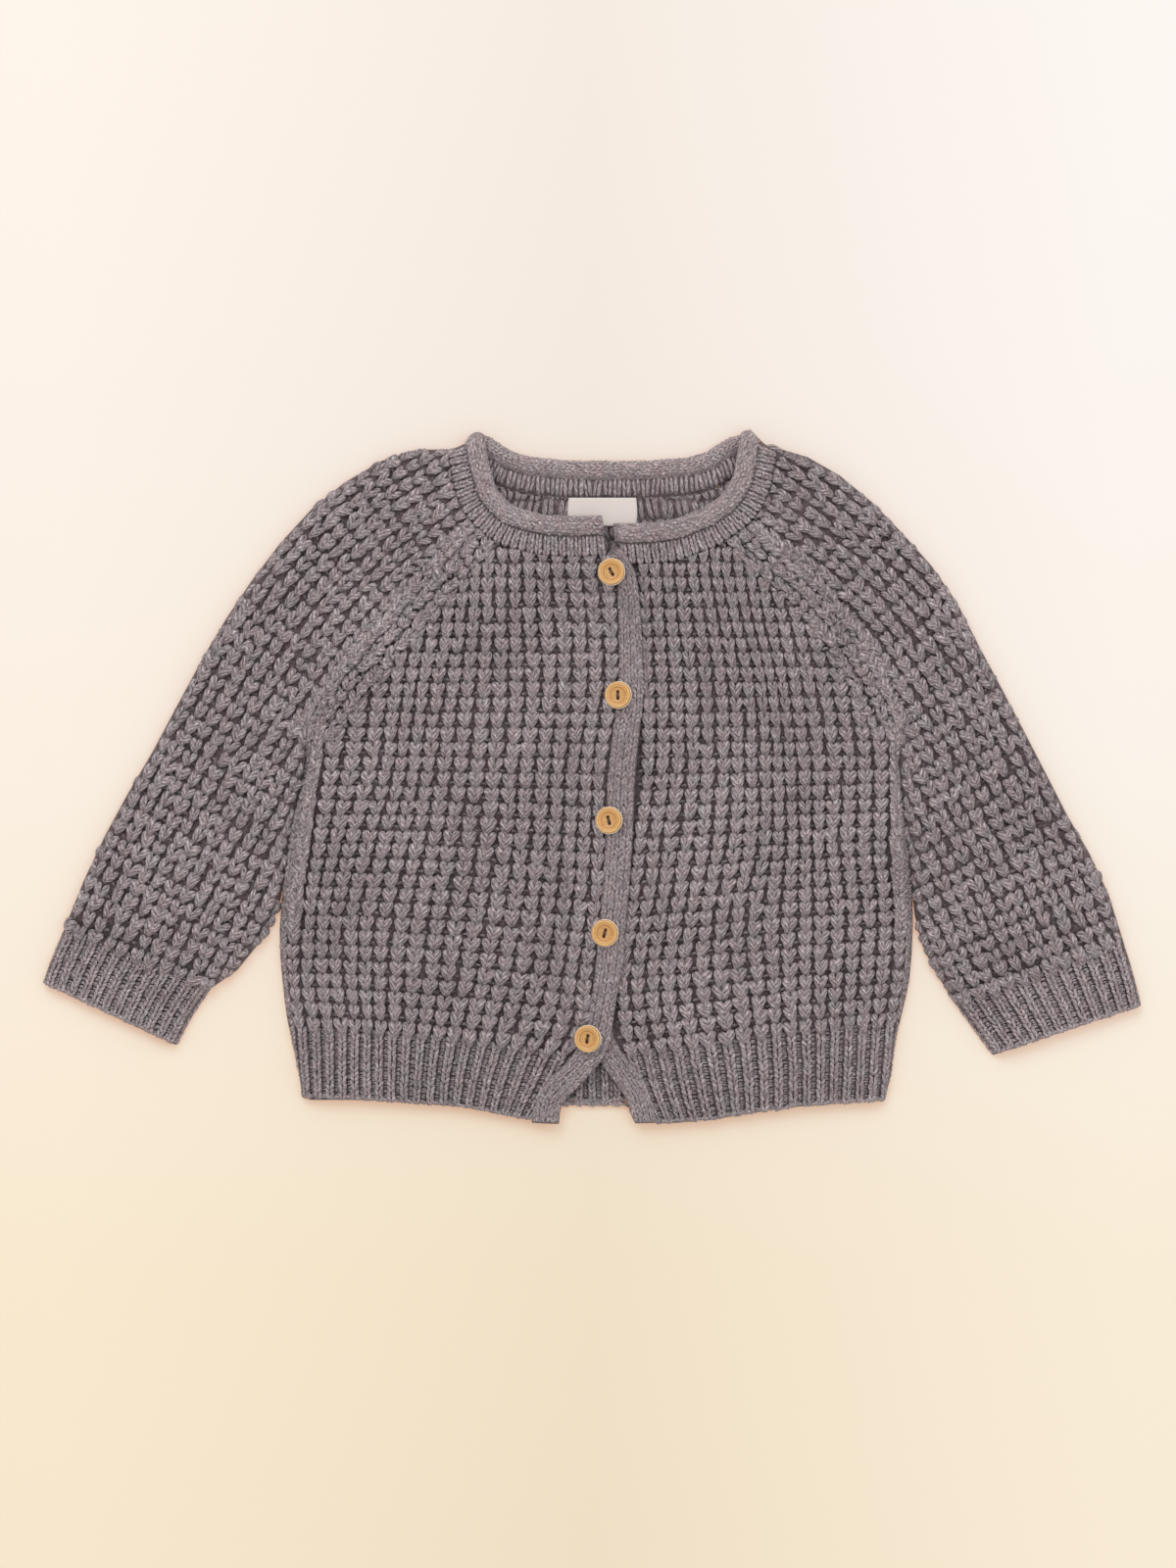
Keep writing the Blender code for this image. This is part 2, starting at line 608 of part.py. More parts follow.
def make_back():
    top = back_top(SEAM / 2, SEAM / 2)

    def skin(z, margin, low, high, rows, count, groove=0.0):
        points = np.zeros((count + 1, rows + 1, 3))
        for i, u in enumerate(np.linspace(0, 1, count + 1)):
            def across(y):
                level = np.minimum(y, UNDERARM_Y)
                return (side_x(level, "right") + margin) * (1 - u) + (side_x(level, "left") - margin) * u
            end = high
            if high is None:
                end = 0.0
                for _ in range(SETTLE_STEPS):
                    end = 0.5 * end + 0.5 * height_where(top, across(end))
            y = np.linspace(low, end, rows + 1)
            level = z - (groove if i % 2 and 0 < u < 1 else 0.0)
            points[i] = np.stack([across(y), y, np.full_like(y, level)], -1)
        return points

    inset = seat_inset(FRONT_BED + BODY_WALL, EDGE_RADIUS, BODY_WALL, BACK_WALL)
    low = BACK_HEM_SEAM_Y + SEAM
    under = skin(0.0, BODY_WALL + 2 * CLEAR, low, None, BACK_STEPS, BACK_COLUMNS)
    over = skin(BACK_WALL, inset, low, None, BACK_STEPS, 2 * BACK_COLUMNS, BACK_GROOVE)
    make_wall("back", over, under, 2)
    inset = seat_inset(HEM_BED + RIB_WALL, RIB_EDGE_RADIUS, RIB_WALL, RIB_WALL)
    under = skin(0.0, RIB_WALL + CLEAR, BACK_HEM_EDGE_Y, BACK_HEM_SEAM_Y, 2, HEM_RIBS["back"])
    over = skin(RIB_WALL, inset, BACK_HEM_EDGE_Y, BACK_HEM_SEAM_Y, 2, 2 * HEM_RIBS["back"], RIB_GROOVE)
    make_wall("hem_back", over, under, 2)


# Sleeves and cuffs

def sleeve_plan(table, stations, side, is_cuff):
    """Outer fold, front inner edge and back inner edge in the plan, at station numbers."""
    rows = np.arange(len(table))
    outer_knots = table[:, :2].copy()
    if not is_cuff:
        outer_knots[-1] = shoulder_corner(side)
    outer = np.stack([through(rows, outer_knots[:, k], stations) for k in (0, 1)], -1)
    front = np.stack([through(rows, table[:, k], stations) for k in (2, 3)], -1)
    if is_cuff:
        return outer, front, front
    away = 1 if side == "right" else -1
    body = side_x(front[:, 1], side) - away * SEAM
    beside = (stations > 1.5) & (stations < UNDERARM_STATION)
    clamp = np.minimum if side == "right" else np.maximum
    front[beside, 0] = clamp(front[beside, 0], body[beside])
    above = stations >= UNDERARM_STATION
    dense = np.linspace(UNDERARM_STATION, len(table) - 1, SEAM_SAMPLES)
    seam = offset(raglan(side, dense), away * SEAM * 0.6)
    front[above] = np.stack([np.interp(stations[above], dense, seam[:, k]) for k in (0, 1)], -1)
    back = front.copy()
    ends = np.array([table[UNDERARM_STATION, 2:4], neck_edge(BACK_RAGLAN_ROW[side])[0]])
    line = offset(ends, away * SEAM / 2)
    share = (stations - UNDERARM_STATION) / (len(table) - 1 - UNDERARM_STATION)
    back[above] = line[0] + share[above][:, None] * (line[1] - line[0])
    return outer, front, back


def shoulder_side(side):
    """Plan direction from the neck seam's inner skin to the outside of the shoulder fold."""
    _, along, _ = neck_at(SHOULDER_ROW[side])
    across = np.array([-along[0, 1], along[0, 0]]) * (1 if side == "right" else -1)
    return across / np.linalg.norm(across)


def shoulder_corner(side):
    return neck_edge(SHOULDER_ROW[side], SLEEVE_NECK_GAP)[0] + BODY_WALL * shoulder_side(side)


def neck_end(side, q, length, layer):
    """Point of a sleeve's neck end, at a distance q of its length from the shoulder fold's outside."""
    target = (FRONT_RAGLAN_ROW if layer == "front" else BACK_RAGLAN_ROW)[side]
    line = neck_edge(np.linspace(SHOULDER_ROW[side], target, SEAM_SAMPLES), SLEEVE_NECK_GAP)
    travelled = np.concatenate([[0], np.cumsum(np.linalg.norm(np.diff(line, axis=0), axis=1))])
    share = max(q - BODY_WALL, 0.0) / (length - BODY_WALL)
    spot = np.array([np.interp(share * travelled[-1], travelled, line[:, k]) for k in (0, 1)])
    return spot + max(BODY_WALL - q, 0.0) * shoulder_side(side)


def spread(share, width, natural):
    """Place across a sleeve's top. Columns keep their pitch near the fold, not at the inner edge."""
    natural = width if natural is None else min(natural, COLUMN_CROWDING * width)
    return natural * share + (width - natural) * share ** 2


def tube_skins(table, side, sections, columns, height, wall, radius, groove, swell, is_cuff):
    """Outer and inner skins of a flattened tube: underside, outer fold, top, then the turned inner edge."""
    stations = np.linspace(0, len(table) - 1, sections)
    outer_plan, front_plan, back_plan = sleeve_plan(table, stations, side, is_cuff)
    last = len(table) - 1
    turned = np.ones_like(stations) if is_cuff else ease((UNDERARM_STATION - stations) / 0.9)
    seated = turned if is_cuff else np.where(stations <= UNDERARM_STATION, 1.0, 0.0)
    near_neck = np.zeros_like(stations) if is_cuff else ease((stations - (last - 2.5)) / 2.5)
    half = height / 2
    inset_high = seat_inset(height, radius, wall, wall)
    natural = None if is_cuff else SLEEVE_COLUMNS * SLEEVE_PITCH

    def place(plan_inner, q, length, z, j, layer):
        """A point q in from the outer fold, pulled to the curved neck end as the stations reach it."""
        spot = outer_plan[j] + (plan_inner[j] - outer_plan[j]) * q / length
        if near_neck[j] > 0:
            straight = outer_plan[-1] + (plan_inner[-1] - outer_plan[-1]) * q / length
            spot = spot + near_neck[j] * (neck_end(side, q, length, layer) - straight)
        return (*spot, z)

    def section(j, ratio, inner_skin):
        back_length = np.linalg.norm(outer_plan[j] - back_plan[j])
        front_length = np.linalg.norm(outer_plan[j] - front_plan[j])
        inset = (inset_high if inner_skin else wall + CLEAR) * seated[j]
        points = []
        for k in np.linspace(0, 1, UNDERSIDE_STEPS * ratio + 1)[:-1]:
            q = (back_length - inset) * (1 - k) + half * k
            points.append(place(back_plan, q, back_length, wall if inner_skin else 0.0, j, "back"))
        r = half - wall if inner_skin else half
        for k in np.linspace(0, 1, FOLD_STEPS * ratio + 1)[:-1]:
            angle = math.pi * (k - 0.5)
            q, z = half - r * math.cos(angle), half + r * math.sin(angle)
            if k < 0.5:
                points.append(place(back_plan, q, back_length, z, j, "back"))
            else:
                points.append(place(front_plan, q, front_length, z, j, "front"))
        steps = columns * ratio
        for k in range(steps):
            q = half + spread(k / steps, front_length - radius - half, natural)
            x, y, _ = place(front_plan, q, front_length, 0.0, j, "front")
            folds = 0.0 if is_cuff else fold_height(x, y) * ease(k / steps * 4) * ease((1 - k / steps) * 5)
            z = height + max(folds + swell * math.sin(math.pi * k / steps), 0.0)
            z -= wall if inner_skin else groove * (k % 2)
            points.append((x, y, z))
        for k in np.linspace(0, 1, EDGE_STEPS * ratio + 1):
            inward, z = turn(k, height, radius, wall, turned[j])[1 if inner_skin else 0]
            points.append(place(front_plan, front_length - inward, front_length, z, j, "front"))
        return points

    outer = np.array([section(j, 2, False) for j in range(len(stations))]).transpose(1, 0, 2)
    inner = np.array([section(j, 1, True) for j in range(len(stations))]).transpose(1, 0, 2)
    return outer, inner


def make_sleeves():
    for side in ("right", "left"):
        table, cuff = SLEEVES[side], CUFFS[side]
        outer, inner = tube_skins(
            table, side, SLEEVE_SECTIONS, SLEEVE_COLUMNS, SLEEVE_HEIGHT, BODY_WALL, EDGE_RADIUS, BODY_GROOVE,
            SLEEVE_SWELL, False,
        )
        make_wall(f"sleeve_{side}", outer, inner, 2)
        outer, inner = tube_skins(
            cuff, side, CUFF_SECTIONS, CUFF_RIBS, CUFF_HEIGHT, RIB_WALL, RIB_EDGE_RADIUS, RIB_GROOVE,
            CUFF_SWELL, True,
        )
        make_wall(f"cuff_{side}", outer, inner, 2)


# Neckband and its rolled edge

def neck_rows(count):
    """Row numbers spaced evenly along the outer skin of the neckband, and that skin's length."""
    dense = np.linspace(0, len(NECK) - 1, NECK_SAMPLES)
    point, along, outward = neck_at(dense)
    line = point + along * BAND_WIDTH + outward * BAND_WALL
    length = np.concatenate([[0], np.cumsum(np.linalg.norm(np.diff(line, axis=0), axis=1))])
    return np.interp(np.linspace(0, length[-1], count), length, dense), length[-1]


def make_neckband():
    ribs = int(round(neck_rows(2)[1] / BAND_RIB_PITCH))

    def skin(count, height, groove):
        point, along, outward = neck_at(neck_rows(count)[0])
        depth = height - groove * (np.arange(count) % 2)
        edges = (0.0, BAND_WIDTH - 3 * CLEAR)
        return np.stack([point + along * d + outward * depth[:, None] for d in edges], 1)

    make_wall("neckband", skin(2 * ribs + 1, BAND_WALL, BAND_GROOVE), skin(ribs + 1, 0.0, 0.0), 2)


def roll_section(inward):
    """The curl's section as (along the band's width, outward), drawn in from its outside by a distance."""
    half_wide, half_high = ROLL_WIDTH / 2 - inward, ROLL_HEIGHT / 2 - inward
    across, outward = NECK_SIZE - ROLL_WIDTH / 2, ROLL_HEIGHT / 2
    points = [(BAND_WIDTH, outward - half_high)]
    for angle in np.radians(np.linspace(-90, ROLL_TURN, ROLL_STEPS)):
        points.append((across + half_wide * math.cos(angle), outward + half_high * math.sin(angle)))
    return points


def make_roll():
    point, along, outward = neck_at(ROLL_ROWS)
    narrow = 1 - (1 - BACK_ROLL_SHARE) * (1 - outward[:, 2:]) / 2
    squash = 1 - (1 - FOLD_ROLL_SHARE) * (1 - np.abs(outward[:, 2:]))

    def skin(section):
        spots = [(BAND_WIDTH + (d - BAND_WIDTH) * narrow, n * squash) for d, n in section]
        return np.stack([point + along * d + outward * n for d, n in spots], 1)

    make_wall("neck_roll", skin(roll_section(0.0)), skin(roll_section(ROLL_WALL)))


# Buttons and label

def make_button(name, x, y, tilt_x, tilt_y, hole_angle):
    """A turned wooden button with a raised rim and two holes, resting just clear of the knit."""
    work = bmesh.new()
    rings = []
    for radius, height in BUTTON_PROFILE:
        turned = [compass(360 * k / BUTTON_SIDES) * radius for k in range(BUTTON_SIDES)]
        rings.append([work.verts.new((px * MM, py * MM, height * MM)) for px, py in turned])
    for upper, lower in zip(rings, rings[1:]):
        for k in range(BUTTON_SIDES):
            after = (k + 1) % BUTTON_SIDES
            work.faces.new((upper[k], upper[after], lower[after], lower[k]))
    work.faces.new(rings[0])
    work.faces.new(rings[-1])
    bmesh.ops.recalc_face_normals(work, faces=work.faces)
    mesh = bpy.data.meshes.new(name)
    work.to_mesh(mesh)
    work.free()
    obj = bpy.data.objects.new(name, mesh)
    bpy.context.scene.collection.objects.link(obj)
    mesh.materials.append(bpy.data.materials["button_wood"])
    reach = BUTTON_PROFILE[0][0] * math.sin(math.radians(math.hypot(tilt_x, tilt_y)))
    seat = FRONT_BED + OVERLAP_LIFT + PLACKET_WALL + CLEAR + reach
    obj.location = (x * MM, y * MM, seat * MM)
    obj.rotation_euler = (math.radians(tilt_x), math.radians(tilt_y), math.radians(hole_angle))
    for k, away in enumerate((-BUTTON_HOLE_OFFSET, BUTTON_HOLE_OFFSET)):
        cut = obj.modifiers.new(f"hole_{k}", "BOOLEAN")
        cut.operation = "DIFFERENCE"
        cut.object = make_hole(f"{name}_hole_{k}", obj, away)
    mesh.shade_smooth()
    mesh.set_sharp_from_angle(angle=math.radians(SHARP_ANGLE))


def make_hole(name, button, away):
    """A round cutter through a button, which the build leaves out."""
    mesh = bpy.data.meshes.new(name)
    work = bmesh.new()
    radius = BUTTON_HOLE_RADIUS * MM
    bmesh.ops.create_cone(
        work, cap_ends=True, segments=HOLE_SIDES, radius1=radius, radius2=radius, depth=HOLE_DEPTH * MM,
    )
    work.to_mesh(mesh)
    work.free()
    cutter = bpy.data.objects.new(name, mesh)
    bpy.context.scene.collection.objects.link(cutter)
    cutter.parent = button
    cutter.location = (away * MM, 0, 0)
    cutter.hide_render = True
    cutter.display_type = "WIRE"
    return cutter


def make_label():
    """The blank neck label, lying on the back just under the neckband."""
    low, high = LABEL["y"] - LABEL["height"] / 2, LABEL["y"] + LABEL["height"] / 2
    under = BACK_WALL + CLEAR
    over = under + LABEL["thick"]
    section = [(low, under), (low, over), (high, over), (high, under)]
    ends = (LABEL["x"] - LABEL["width"] / 2, LABEL["x"] + LABEL["width"] / 2)
    make_rings("neck_label", np.array([[(x, y, z) for y, z in section] for x in ends]), "label_satin")


def make_materials():
    for slot, colour in COLOURS.items():
        material = bpy.data.materials.new(slot)
        material.use_nodes = True
        shader = material.node_tree.nodes["Principled BSDF"]
        shader.inputs["Base Color"].default_value = colour
        shader.inputs["Roughness"].default_value = ROUGHNESS[slot]
        shader.inputs["Metallic"].default_value = 0.0


def main():
    for obj in list(bpy.data.objects):
        bpy.data.objects.remove(obj)
    make_materials()
    make_fronts()
    make_placket("placket_right", PLACKET_RIGHT, PLACKET_SECTIONS["right"], OVERLAP_LIFT)
    make_placket("placket_left", PLACKET_LEFT, PLACKET_SECTIONS["left"], 0.0)
    make_back()
    make_sleeves()
    make_neckband()
    make_roll()
    for number, row in enumerate(BUTTONS, 1):
        make_button(f"button_{number}", *row)
    make_label()


main()
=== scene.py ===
"""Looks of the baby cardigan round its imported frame: knitted stitches, turned wooden buttons, a blank label.

Plan tables and sizes are in millimetres, in the frame's own axes: +Z up, +Y from the hem to the neck.
A surface is a function of column and row numbers that gives points and normals. lay() puts stitches on it.
"""

import math

import bmesh
import bpy
import numpy as np
from mathutils import Matrix, Vector


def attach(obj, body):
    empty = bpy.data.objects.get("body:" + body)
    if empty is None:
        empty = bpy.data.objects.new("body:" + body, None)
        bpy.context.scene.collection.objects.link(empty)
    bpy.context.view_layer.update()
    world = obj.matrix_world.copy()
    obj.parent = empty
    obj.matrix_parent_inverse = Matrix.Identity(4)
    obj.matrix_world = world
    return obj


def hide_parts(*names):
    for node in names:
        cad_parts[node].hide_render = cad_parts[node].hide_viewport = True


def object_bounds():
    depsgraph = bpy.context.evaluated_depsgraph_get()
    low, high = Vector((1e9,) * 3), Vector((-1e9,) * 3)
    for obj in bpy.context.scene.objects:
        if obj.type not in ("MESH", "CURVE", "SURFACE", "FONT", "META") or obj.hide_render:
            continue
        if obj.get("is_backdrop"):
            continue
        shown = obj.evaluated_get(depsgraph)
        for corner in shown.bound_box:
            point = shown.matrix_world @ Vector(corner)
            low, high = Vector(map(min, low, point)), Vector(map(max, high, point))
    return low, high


MM = 0.001
SEED = 11
SIGN = {"right": 1, "left": -1}     # which way is inward along x; the right side lies at negative x

# Gaps and heights of the cloth's layers, as in the solids
SEAM = 0.85                 # gap between pieces that are sewn together
SLEEVE_NECK_GAP = 1.4
BACK_NECK_GAP = 1.1
CLEAR = 0.3                 # gap under the buttons and the label
BODY_WALL = 3.4
BACK_WALL = 3.2
RIB_WALL = 2.8
BAND_WALL = 2.4
PLACKET_WALL = 3.6
FRONT_BED = 3.75            # underside of the fronts, and of their hems
HEM_BED = 3.5
SLEEVE_HEIGHT = 7.4         # sleeves and cuffs are tubes pressed flat
CUFF_HEIGHT = 6.2
SLEEVE_SWELL = 0.8          # how much higher their middle is
CUFF_SWELL = 0.4
EDGE_RADIUS = 6.5           # radius of the turned-down sides
RIB_EDGE_RADIUS = 5.5
SIDE_TURN = 2.0             # how far a side turns down at most, in radians
INNER_TURN = 1.9            # and a sleeve's inner side
TURN_FADE = 20.0            # the turn sets in over this height below the underarm
INNER_FADE = 18.0           # and on a sleeve's inner side over this one
OVERLAP_LIFT = 3.9          # how much the buttonhole side lies higher, over the other placket
LIFT_RAMP = 16.0            # width over which it rises
LIFT_EDGE = 1.0             # it is at its full height this far before the other placket's edge
LIFT_TOP = {"y": 118.0, "fade": 18.0}
HEMS_PART = {"y": -152.0, "fade": 17.0}
FOLD_FADE = 12.0            # folds fade out over this distance to a seam
LEFT_FOLDS_FROM = 24.0      # x beyond which the left front has them
BAND_WIDTH = 8.2
NECK_SIZE = 17.5            # from the neckband's seam over the roll to its far side
ROLL_WIDTH = 8.2
ROLL_HEIGHT = 6.0
BACK_ROLL_SHARE = 0.8       # the roll's width behind the neck
FOLD_ROLL_SHARE = 0.75      # and its height at the shoulders
ROLL_TOP = (ROLL_WIDTH + ROLL_HEIGHT) / 4 * math.pi / 2

# How finely curves are drawn
SEAM_SAMPLES = 60
PLACKET_SAMPLES = 160
PLACKET_ARC = 41
NECK_SAMPLES = 1200
EDGE_SAMPLES = 260
FOLD_SAMPLES = 200
SPINE_SAMPLES = 400
CUFF_SAMPLES = 60
LINE_SAMPLES = 120
SETTLE_STEPS = 14           # rounds in which the fronts' first row settles on the hem seam, from a level
SEAM_START = -125.0
NEAR_CHUNK = 20000

# Knit gauge. Columns are numbered from the first gap in from the side edge
FRONT_COLUMNS = {"right": 18, "left": 17}
PLAN_COLUMNS = np.linspace(0, 18, 73)
FRONT_PITCH = 7.4
ROW = 7.0
LEVEL_ROWS = 24.0           # a front's rows level out over this many
SLEEVE_PITCH = 7.1
SLEEVE_ROW = 7.2
SLEEVE_NARROWS = {"by": 0.8, "row": 22, "rows": 16}
SLEEVE_SLANT = {"share": 0.085, "rows": 9}
RIB_LENGTH = 31.0           # of the hems and cuffs
RIB_ROW = 2.15
RIB_ROWS = int(round(RIB_LENGTH / RIB_ROW))
HEM_PITCH = 6.3
BACK_HEM_PITCH = 6.0
CUFF_RIBS = 12
BUMP_PITCH = 2.3            # of the purls on the cast-off edges
# Columns along the raglan seam: distance of the first from it, their width, and the length of a stitch
FRONT_SEAM = (-0.2, 6.2, 5.6)
SLEEVE_SEAM = (-0.3, 7.0, 4.6)

# Cloth
FUZZ_END_Y = -70.0          # the brushed column at the body's sides ends here
BACK_HEM_DIP = 3.0          # how far the back hem's middle shows below its solid
SINK = 0.8                  # how far the stitches' base lies below the solids' skin
LOWEST = 0.15               # no yarn lies lower than this
# How far the grounds behind the stitches lie below the solids' skin
GROUND_SINKS = {
    "front": 2.2, "hem_front": 1.7, "sleeve": 1.6, "cuff": 1.7, "placket": 0.6,
    "back": 1.4, "hem_back": 1.2, "neckband": 0.3, "neck_roll": 0.0,
}
SPREAD = 0.6                # how far they reach over their solids' sides, to close the seams
FRONT_SPREAD = 1.1          # the same for the fronts, beside the sleeves

# y, then x of the right and the left side
BODY_SIDES = np.array([
    (-151.5, -135.6, 137.2),
    (-141.2, -136.6, 139.4),
    (-132.0, -138.5, 140.8),
    (-122.8, -140.3, 142.1),
    (-113.6, -142.1, 144.0),
    (-95.2, -144.4, 148.1),
    (-76.8, -145.8, 149.5),
    (-58.4, -144.8, 149.8),
    (-30.8, -142.1, 147.7),
    (-3.2, -135.7, 144.4),
    (24.0, -130.2, 141.7),
])
UNDERARM_Y = 24.0
# Inner edge x, y and open edge x, y, from the hem to the neck
PLACKET_RIGHT = np.array([
    (-27.8, -161.4, -15.8, -161.9),
    (-26.9, -155.5, -15.3, -155.6),
    (-24.9, -149.0, -12.7, -150.3),
    (-19.7, -141.0, -5.6, -143.4),
    (-11.2, -133.3, 2.5, -134.3),
    (-5.6, -124.8, 7.8, -125.0),
    (-1.2, -110.0, 10.0, -110.0),
    (2.0, -88.0, 13.7, -88.0),
    (4.4, -58.0, 16.4, -58.0),
    (6.5, -30.0, 18.5, -30.0),
    (7.4, -4.0, 19.4, -4.0),
    (9.6, 18.0, 21.4, 18.0),
    (12.3, 40.0, 23.7, 40.0),
    (12.8, 62.0, 23.1, 62.0),
    (12.3, 84.0, 21.6, 84.0),
    (11.3, 92.5, 20.4, 93.0),
    (9.6, 97.6, 18.2, 99.0),
    (8.2, 101.2, 14.6, 104.4),
    (7.3, 103.6, 10.4, 107.8),
])
PLACKET_LEFT = np.array([
    (29.3, -161.4, 20.6, -161.6),
    (28.9, -156.0, 18.6, -157.2),
    (26.8, -148.7, 16.4, -150.6),
    (22.6, -140.8, 11.2, -142.6),
    (16.6, -132.4, 4.9, -134.0),
    (11.0, -124.0, -0.6, -124.6),
    (8.4, -113.0, -3.0, -113.0),
    (8.3, -92.0, -3.2, -92.0),
    (9.8, -60.0, -1.6, -60.0),
    (12.4, -10.0, 1.0, -10.0),
    (14.8, 42.0, 3.4, 42.0),
    (16.0, 76.0, 4.6, 76.0),
    (18.4, 99.6, 7.4, 99.6),
])
PLACKETS = {"right": (PLACKET_RIGHT, OVERLAP_LIFT), "left": (PLACKET_LEFT, 0.0)}
HEM_SEAM = np.array([
    (-140.0, -119.4), (-115.0, -120.1), (-89.2, -121.6), (-58.9, -125.1), (-33.1, -128.3), (-16.0, -130.6),
    (0.0, -132.0), (21.2, -130.6), (49.2, -127.4), (83.3, -122.6), (117.3, -119.1), (143.0, -116.8),
])
HEM_EDGE = np.array([
    (-135.0, -149.6), (-98.0, -151.3), (-58.9, -154.1), (-31.3, -159.6), (-16.1, -162.0),
    (25.8, -161.8), (39.6, -161.5), (58.0, -159.6), (93.4, -154.1), (138.0, -150.9),
])
BACK_HEM_EDGE_Y = -151.0
# Outer fold x, y and inner edge x, y, from the cuff to the neck; then the same from the sleeve down a cuff
SLEEVE_RIGHT = np.array([
    (-246.6, -70.8, -179.5, -99.2),
    (-233.7, -40.0, -161.9, -85.4),
    (-219.4, -12.4, -147.7, -61.2),
    (-203.3, 15.2, -142.9, -34.5),
    (-186.8, 46.5, -137.4, -6.9),
    (-171.1, 73.6, -130.8, 24.0),
    (-153.6, 98.9, -115.0, 46.5),
    (-134.3, 121.9, -96.6, 67.6),
    (-112.2, 139.8, -79.1, 88.8),
    (-88.3, 151.6, -64.4, 104.4),
    (-67.9, 154.4, -53.0, 117.7),
])
SLEEVE_LEFT = np.array([
    (248.4, -76.8, 169.3, -103.5),
    (238.3, -46.9, 158.7, -86.0),
    (224.0, -21.6, 152.6, -68.5),
    (209.8, 6.0, 149.2, -40.0),
    (195.5, 33.6, 145.6, -8.7),
    (180.8, 61.2, 142.3, 24.0),
    (166.1, 88.8, 132.9, 43.7),
    (147.7, 110.9, 121.4, 64.4),
    (127.9, 131.1, 106.7, 84.2),
    (106.7, 146.7, 88.8, 100.7),
    (86.0, 153.2, 71.8, 117.4),
])
UNDERARM_STATION = 5
SLEEVES = {"right": SLEEVE_RIGHT, "left": SLEEVE_LEFT}
CUFF_RIGHT = np.array([
    (-246.8, -71.4, -179.8, -99.8),
    (-252.0, -83.6, -187.8, -111.6),
    (-256.7, -96.1, -195.0, -125.1),
])
CUFF_LEFT = np.array([
    (248.6, -77.4, 169.5, -104.1),
    (253.0, -92.0, 178.6, -116.8),
    (256.7, -106.7, 188.1, -129.7),
])
CUFFS = {"right": CUFF_RIGHT, "left": CUFF_LEFT}
# Neckband's seam x, y, compass direction and tip of its width, seam z, and how far its outside turns
NECK = np.array([
    (6.5, 104.6, 97, 2, 4.3, 0),
    (-6.4, 104.1, 93, 2, 4.3, 0),
    (-21.6, 104.7, 88, 3, 4.3, 0),
    (-33.1, 107.0, 77, 3, 4.3, 0),
    (-42.3, 110.1, 64, 4, 4.3, 0),
    (-49.2, 113.9, 54, 5, 4.3, 0),
    (-55.2, 120.1, 42, 6, 4.3, 0),
    (-60.3, 127.1, 28, 8, 4.3, 0),
    (-63.2, 137.1, 18, 12, 4.3, 0),
    (-65.4, 147.2, 14, 14, 4.2, 10),
    (-65.6, 150.0, 20, 14, 3.9, 60),
    (-64.8, 150.6, 28, 13, 3.6, 120),
    (-62.7, 149.6, 37, 13, 3.4, 170),
    (-58.0, 146.4, 50, 13, 3.3, 180),
    (-51.0, 141.8, 62, 13, 3.3, 180),
    (-42.5, 137.0, 72, 13, 3.3, 180),
    (-31.3, 133.8, 81, 13, 3.3, 180),
    (-10.6, 131.8, 89, 13, 3.3, 180),
    (8.3, 131.6, 90, 13, 3.3, 180),
    (27.1, 131.8, 91, 13, 3.3, 180),
    (47.2, 133.4, 98, 13, 3.3, 180),
    (58.8, 136.8, 107, 13, 3.3, 180),
    (67.3, 141.6, 118, 13, 3.3, 180),
    (76.0, 146.6, 130, 13, 3.3, 180),
    (81.8, 149.6, 143, 13, 3.4, 190),
    (83.8, 151.2, 151, 13, 3.6, 240),
    (84.5, 150.5, 159, 14, 3.9, 300),
    (84.2, 147.2, 166, 14, 4.2, 350),
    (82.5, 136.2, 163, 12, 4.3, 360),
    (78.4, 127.1, 152, 8, 4.3, 360),
    (73.4, 120.1, 142, 6, 4.3, 360),
    (67.4, 115.0, 130, 5, 4.3, 360),
    (58.4, 109.5, 118, 4, 4.3, 360),
    (48.5, 105.2, 108, 3, 4.3, 360),
    (39.6, 102.6, 102, 3, 4.3, 360),
    (29.4, 101.2, 96, 2, 4.3, 360),
    (19.4, 100.8, 96, 2, 4.3, 360),
    (12.0, 101.0, 95, 2, 4.3, 360),
])
FRONT_RAGLAN_ROW = {"right": 5.6, "left": 30.5}
BACK_RAGLAN_ROW = {"right": 14.4, "left": 21.5}
SHOULDER_ROW = {"right": 10.5, "left": 25.5}
# Soft folds: middle x, y, compass direction, half length, half width, height
FOLDS = np.array([
    (-100.0, 30.0, 50, 60, 14, 0.7),
    (-60.0, -30.0, 84, 70, 22, 0.6),
    (-105.0, -75.0, 100, 50, 18, 0.5),
    (70.0, 10.0, 80, 60, 20, 0.7),
    (110.0, -60.0, 95, 55, 16, 0.5),
    (60.0, -90.0, 20, 40, 14, 0.5),
    (-150.0, 60.0, 50, 70, 13, -0.9),
    (160.0, 45.0, 128, 70, 13, -0.9),
    (-205.0, -45.0, 66, 45, 16, 0.7),
    (208.0, -45.0, 112, 45, 16, 0.7),
])
# x, y, compass direction of the holes, lean, and the compass direction that the face looks to
BUTTONS = [
    (9.2, 95.7, 118, 8, 160),
    (12.4, 38.2, 92, 12, 165),
    (8.1, -20.2, 105, 11, 170),
    (6.2, -72.7, 75, 10, 190),
    (-1.8, -122.0, 80, 12, 185),
]
LABEL = {"x": 4.9, "y": 124.2, "width": 31.7, "height": 13.4}

